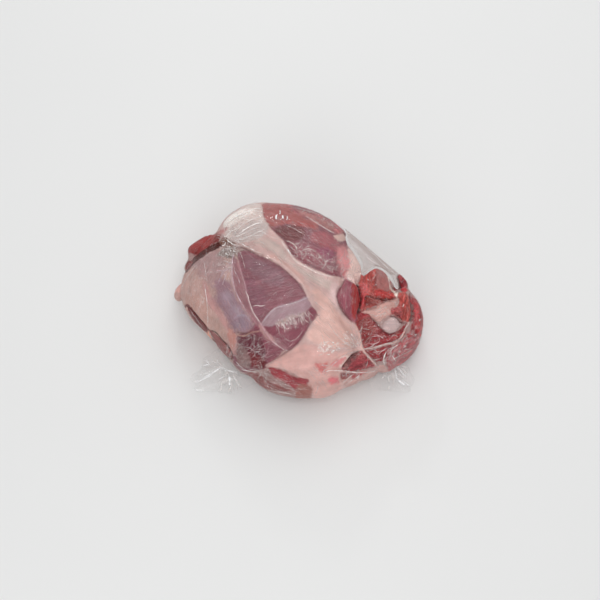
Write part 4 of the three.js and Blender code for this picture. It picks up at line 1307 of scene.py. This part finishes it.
# Middle, number, bearings from and to in degrees, and shortest and longest.
FOLD_FANS = [
    (-90, 76, 26, -50, 60, 10, 44), (-90, 76, 20, 90, 260, 4, 12), (-88, 62, 70, 0, 360, 1, 8),
    (-83, 44, 26, 120, 280, 4, 16), (-46, -87, 26, 0, 360, 3, 10), (-84, -70, 24, 60, 330, 5, 16),
    (77, -61, 14, 90, 180, 10, 34), (77, -61, 10, -60, 60, 8, 26), (110, -74, 44, 0, 360, 4, 18),
    (24, -98, 16, 0, 360, 6, 18), (29, -88, 16, 0, 360, 3, 10), (126, -60, 20, 0, 360, 4, 14),
]

# Number, bearing and its swing, lengths and outline.
FOLD_FIELDS = [
    (70, 28, 16, 6, 22, [(-96, 86), (-88, 106), (-66, 118), (-44, 116), (-42, 96), (-60, 84), (-84, 78)]),
    (26, 84, 8, 8, 30, [(-136, 36), (-116, 54), (-112, 10), (-116, -34), (-140, -8)]),
    (60, -25, 12, 6, 26, [(-60, -92), (-34, -90), (0, -108), (4, -118), (-34, -112)]),
    (26, 30, 14, 5, 14, [(-80, -48), (-50, -44), (-44, -70), (-60, -86), (-84, -76)]),
    (34, 25, 12, 6, 20, [(50, -92), (84, -88), (106, -84), (96, -92), (60, -110)]),
    (30, -42, 5, 14, 50, [(60, 84), (88, 62), (116, 36), (100, 36), (72, 58)]),
]

# The same for short wet glints, also painted highlights.
GLINT_FIELDS = [
    ((0.3, 0.6), (90, 30, 30, 2, 7, [
        (-94, 88), (-88, 104), (-66, 115), (-46, 114), (-44, 100), (-66, 96), (-84, 84)])),
    ((0.35, 0.6), (120, 10, 50, 1.5, 4, [(22, -56), (34, -51), (48, -53), (50, -62), (34, -68), (22, -64)])),
    ((0.3, 0.5), (26, 50, 50, 1.5, 4, [(74, 14), (92, 32), (97, 14), (112, 8), (84, 4), (79, -10)])),
    ((0.25, 0.4), (26, 30, 60, 1.5, 4, [
        (72, -22), (88, -20), (104, -42), (128, -42), (104, -54), (82, -58), (72, -40)])),
    ((0.3, 0.6), (20, 40, 30, 2, 6, [(128, 0), (148, -10), (152, -38), (138, -62), (120, -72), (128, -50)])),
    ((0.4, 0.8), (40, 30, 60, 1, 3, [(-100, 58), (-92, 66), (-80, 66), (-78, 56), (-90, 52)])),
    ((0.4, 0.7), (30, -45, 20, 2, 5, [(54, -38), (70, -44), (72, -56), (60, -54)])),
]

GLINT_WIDER = 1.15

folds = start_strips()
for strength, half, line in FOLDS:
    along_line(folds, film_surface, line, 8, SLIMMER * half, 0.4, min(1, STRONGER * strength), WHITE)
# Painted highlights: the glints are white strips laid on the film.
for strength, half, line in GLINTS:
    along_line(folds, film_surface, line, 5, GLINT_WIDER * half, 0.3, strength, linear("#FFFFFF"))
for halves, spec in GLINT_FIELDS:
    field(folds, film_surface, chance, spec, halves, (0.7, 1), linear("#FFFAF4"))
for spec in FOLD_FANS:
    fan(folds, film_surface, chance, spec, (0.3, 0.65), (0.2, 0.75), MILK)
for spec in FOLD_FIELDS:
    field(folds, film_surface, chance, spec, (0.3, 0.6), (0.15, 0.6), MILK)

# Folds on the sides that look away crawl over the film from random places.
FAR_FOLDS = 150
FAR_FOLDS_LOWEST = 8 * MM

cover = places(film)
away_from_view = np.flatnonzero((directions(film) @ AXES[2] < 0.1) & (cover[:, 2] > FAR_FOLDS_LOWEST))
for _ in range(FAR_FOLDS):
    start = Vector(cover[away_from_view[chance.randrange(len(away_from_view))]])
    heading = Vector((chance.uniform(-1, 1), chance.uniform(-1, 1), chance.uniform(-0.6, 0.6)))
    run = crawl(film_surface, start, heading, chance.uniform(6, 26), chance.gauss(0, 0.12))
    strip(folds, run, chance.uniform(0.4, 0.8), 0.35, chance.uniform(0.15, 0.45), MILK)
film_folds_and_glints = finish_strips(folds, "film_folds_and_glints")
print("the folds have", len(film_folds_and_glints.data.polygons), "faces")

# %% The materials of threads and folds


BREAK = 4 * MM


def strip_material(name, roughness):
    """A strip that fades out at its edges and is broken up along it, in the colour that is stored on it."""
    material, tree = new_material(name)
    show = add(tree, "ShaderNodeAttribute", attribute_name="show")
    tint = add(tree, "ShaderNodeAttribute", attribute_name="tint")
    place = add(tree, "ShaderNodeTexCoord").outputs["Object"]
    broken = add(tree, "ShaderNodeTexNoise", {"Vector": place, "Scale": 1 / BREAK, "Detail": 2})
    broken = add(tree, "ShaderNodeMapRange", {
        "Value": broken, "From Min": 0.32, "From Max": 0.5, "To Min": 0.5, "To Max": 1.0})
    shown = add(tree, "ShaderNodeMath", {0: show, 1: broken}, operation="MULTIPLY")
    see_through = add(tree, "ShaderNodeBsdfTransparent")
    solid = add(tree, "ShaderNodeBsdfPrincipled", {"Base Color": tint, "Roughness": roughness, "IOR": 1.45})
    mixed = add(tree, "ShaderNodeMixShader", {"Fac": shown, 1: see_through, 2: solid})
    add(tree, "ShaderNodeOutputMaterial", {"Surface": mixed})
    return material


# A sharp crease in clear film scatters light and looks white and glossy, and part of that white is a painted
# highlight; the glints drawn with it are painted highlights. Connective tissue is pale and duller.
crease_glint_material = strip_material("film_crease_and_glint", 0.2)
connective_tissue = strip_material("connective_tissue", 0.45)
film_folds_and_glints.data.materials.append(crease_glint_material)
meat_threads.data.materials.append(connective_tissue)
print("made", crease_glint_material.name, "and", connective_tissue.name)

# %% [markdown]
# ## The two loose corners
#
# The bag is flat, so two of its corners stick out from the round joint and lie crumpled beside it. Each is a sheet
# of the same film, pleated from its gathered root to its edge, with a few sharp white creases whose white is
# partly a painted highlight.

# %% Pleat the corners
CREASES = {
    "bag_corner_left": [
        (1.0, 0.8, [(-95, -82), (-110, -91), (-124, -98), (-135, -104)]),
        (0.9, 0.5, [(-104, -90), (-118, -97), (-133, -105)]),
        (0.9, 0.8, [(-133, -102), (-136, -107), (-126, -111), (-119, -112)]),
        (1.0, 1.0, [(-109, -79), (-115, -80), (-121, -81)]),
        (0.7, 0.6, [(-110, -79), (-114, -75), (-117, -73)]),
        (1.0, 1.0, [(-88, -92), (-94, -95), (-102, -99)]), (1.0, 1.1, [(-86, -93), (-86, -99), (-86, -106)]),
        (0.6, 0.7, [(-100, -80), (-90, -86), (-72, -90)]), (0.5, 0.6, [(-113, -50), (-114, -60), (-112, -66)]),
        (0.5, 0.6, [(-102, -70), (-100, -78), (-98, -82)]),
    ],
    "bag_corner_right": [
        (1.0, 1.3, [(122, -98), (131, -105), (140, -112)]),
        (0.9, 0.8, [(126, -98), (134, -104), (142, -110)]),
        (0.7, 0.8, [(100, -72), (104, -84), (108, -96)]),
        (0.7, 0.8, [(112, -74), (118, -84), (121, -96)]), (0.6, 0.7, [(118, -80), (127, -88), (134, -98)]),
        (0.6, 0.7, [(106, -80), (116, -90), (124, -100)]),
    ],
}
CORNER_FANS = {
    "bag_corner_left": (-88, -84, 34, 170, 300, 8, 40),
    "bag_corner_right": (108, -80, 34, -80, 20, 8, 34),
}
CREASE_WIDER = 1.7
CORNER_CRUMPLE = 0.6 * MM

corners = []
for node, lines in CREASES.items():
    sheet = whole_copy(node, node.replace("bag_corner", "film_corner"))
    apply(sheet, "SUBSURF", subdivision_type="SIMPLE", levels=2, render_levels=2)
    pleats = places(sheet)
    pleats += directions(sheet) * (CORNER_CRUMPLE * unevenness(pleats, 7 * MM, 9))[:, None]
    put(sheet, pleats, FILM_LOWEST)
    keep(sheet, "pull", pleats / MM * 0.5, "FLOAT_VECTOR")
    keep(sheet, "crumpled", np.full(len(pleats), 0.2))
    keep(sheet, "milky", np.full(len(pleats), 0.03))
    alone(sheet)
    bpy.ops.object.shade_smooth()
    sheet.data.materials.append(clear_film)
    surface = tree_of(sheet)
    creases = start_strips()
    for strength, half, line in lines:
        along_line(creases, surface, line, 8, CREASE_WIDER * half, 0.7, strength, linear("#FFFFFF"), sway=0.2)
    fan(creases, surface, chance, CORNER_FANS[node], (0.4, 0.9), (0.2, 0.8), WHITE)
    creases = finish_strips(creases, sheet.name + "_creases")
    creases.data.materials.append(crease_glint_material)
    corners.append((node, sheet, creases))
    print(node, "has", len(sheet.data.polygons), "faces and", len(creases.data.polygons), "on its creases")

# %% [markdown]
# ## The pieces, the light and the camera
#
# The meat and the film over it both stand for the solid pack, and each corner of film for its own solid. Threads,
# folds and creases are added to them. The pack lies on a plain pale floor under broad soft lights, and two small
# strong ones give the film its sparks. The camera looks down on it from the side that the view was measured from.

# %% Hide the solids that the new pieces stand for
for piece in (meat, meat_threads, film, film_folds_and_glints):
    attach(piece, "root")
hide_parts("bagged_knuckle")
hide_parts("bagged_knuckle")
for node, sheet, creases in corners:
    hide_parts(node)
    for piece in (sheet, creases):
        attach(piece, "root")
print("the solid pack and its", len(corners), "corners are stood for")

# %% The floor and the light
bpy.ops.object.select_all(action="DESELECT")
bpy.ops.mesh.primitive_plane_add(size=6)
floor = bpy.context.object
floor.name = "pale_floor"
pale_floor, tree = new_material("pale_matt_floor")
place = add(tree, "ShaderNodeTexCoord").outputs["Object"]
cloth = add(tree, "ShaderNodeTexNoise", {"Vector": place, "Scale": 4.0})
shade = add(tree, "ShaderNodeMapRange", {"Value": cloth, "To Min": 0.99, "To Max": 1.01})
pale = add(tree, "ShaderNodeMix", {"Factor": 1.0, "A": linear("#E6E6E4"), "B": shade}, data_type="RGBA",
           blend_type="MULTIPLY")
matt = add(tree, "ShaderNodeBsdfPrincipled", {"Base Color": pale, "Roughness": 0.9})
add(tree, "ShaderNodeOutputMaterial", {"Surface": matt})
floor.data.materials.append(pale_floor)

world = bpy.context.scene.world or bpy.data.worlds.new("studio")
bpy.context.scene.world = world
world.use_nodes = True
world.node_tree.nodes.clear()
glow = add(world.node_tree, "ShaderNodeBackground", {"Color": linear("#F6F7FA"), "Strength": 0.62})
add(world.node_tree, "ShaderNodeOutputWorld", {"Surface": glow})


PACK_MIDDLE = Vector((0, 0, 0.05))


def soft_light(name, at, size, watts):
    """A round light of a size in metres that shines on the pack."""
    lamp = bpy.data.lights.new(name, "AREA")
    lamp.shape = "DISK"
    lamp.size = size
    lamp.energy = watts
    light = bpy.data.objects.new(name, lamp)
    light.location = at
    light.rotation_euler = (PACK_MIDDLE - Vector(at)).to_track_quat("-Z", "Y").to_euler()
    bpy.context.scene.collection.objects.link(light)


soft_light("softbox_back", (0.3, 1.0, 1.7), 1.5, 9)
soft_light("softbox_above", (0.1, -0.2, 2.2), 1.2, 5)
soft_light("softbox_front", (-0.4, -1.7, 0.9), 1.4, 9)
soft_light("strobe_above", (0.03, -0.33, 1.75), 0.16, 1.6)
soft_light("strobe_back", (-0.2, 1.3, 0.8), 0.2, 1.5)
print("the pack lies on", floor.name)

# %% The camera
lens = bpy.data.cameras.new("camera")
camera = bpy.data.objects.new("camera", lens)
bpy.context.scene.collection.objects.link(camera)
camera.location = EYE
camera.rotation_euler = (math.radians(90) - LOOK_DOWN, 0, 0)
MM_PER_PIXEL = 1.24
IMAGE = 600
SENSOR = 36
lens.sensor_width = SENSOR
lens.lens = SENSOR * VIEW_DISTANCE / (MM_PER_PIXEL * IMAGE * MM)
lens.shift_x = 1 / IMAGE  # the middle of the view is one pixel left of the image's middle
lens.shift_y = 0.5 / IMAGE
bpy.context.scene.camera = camera
bpy.context.scene.view_settings.view_transform = "Standard"
print("the camera has a lens of", round(lens.lens), "mm")
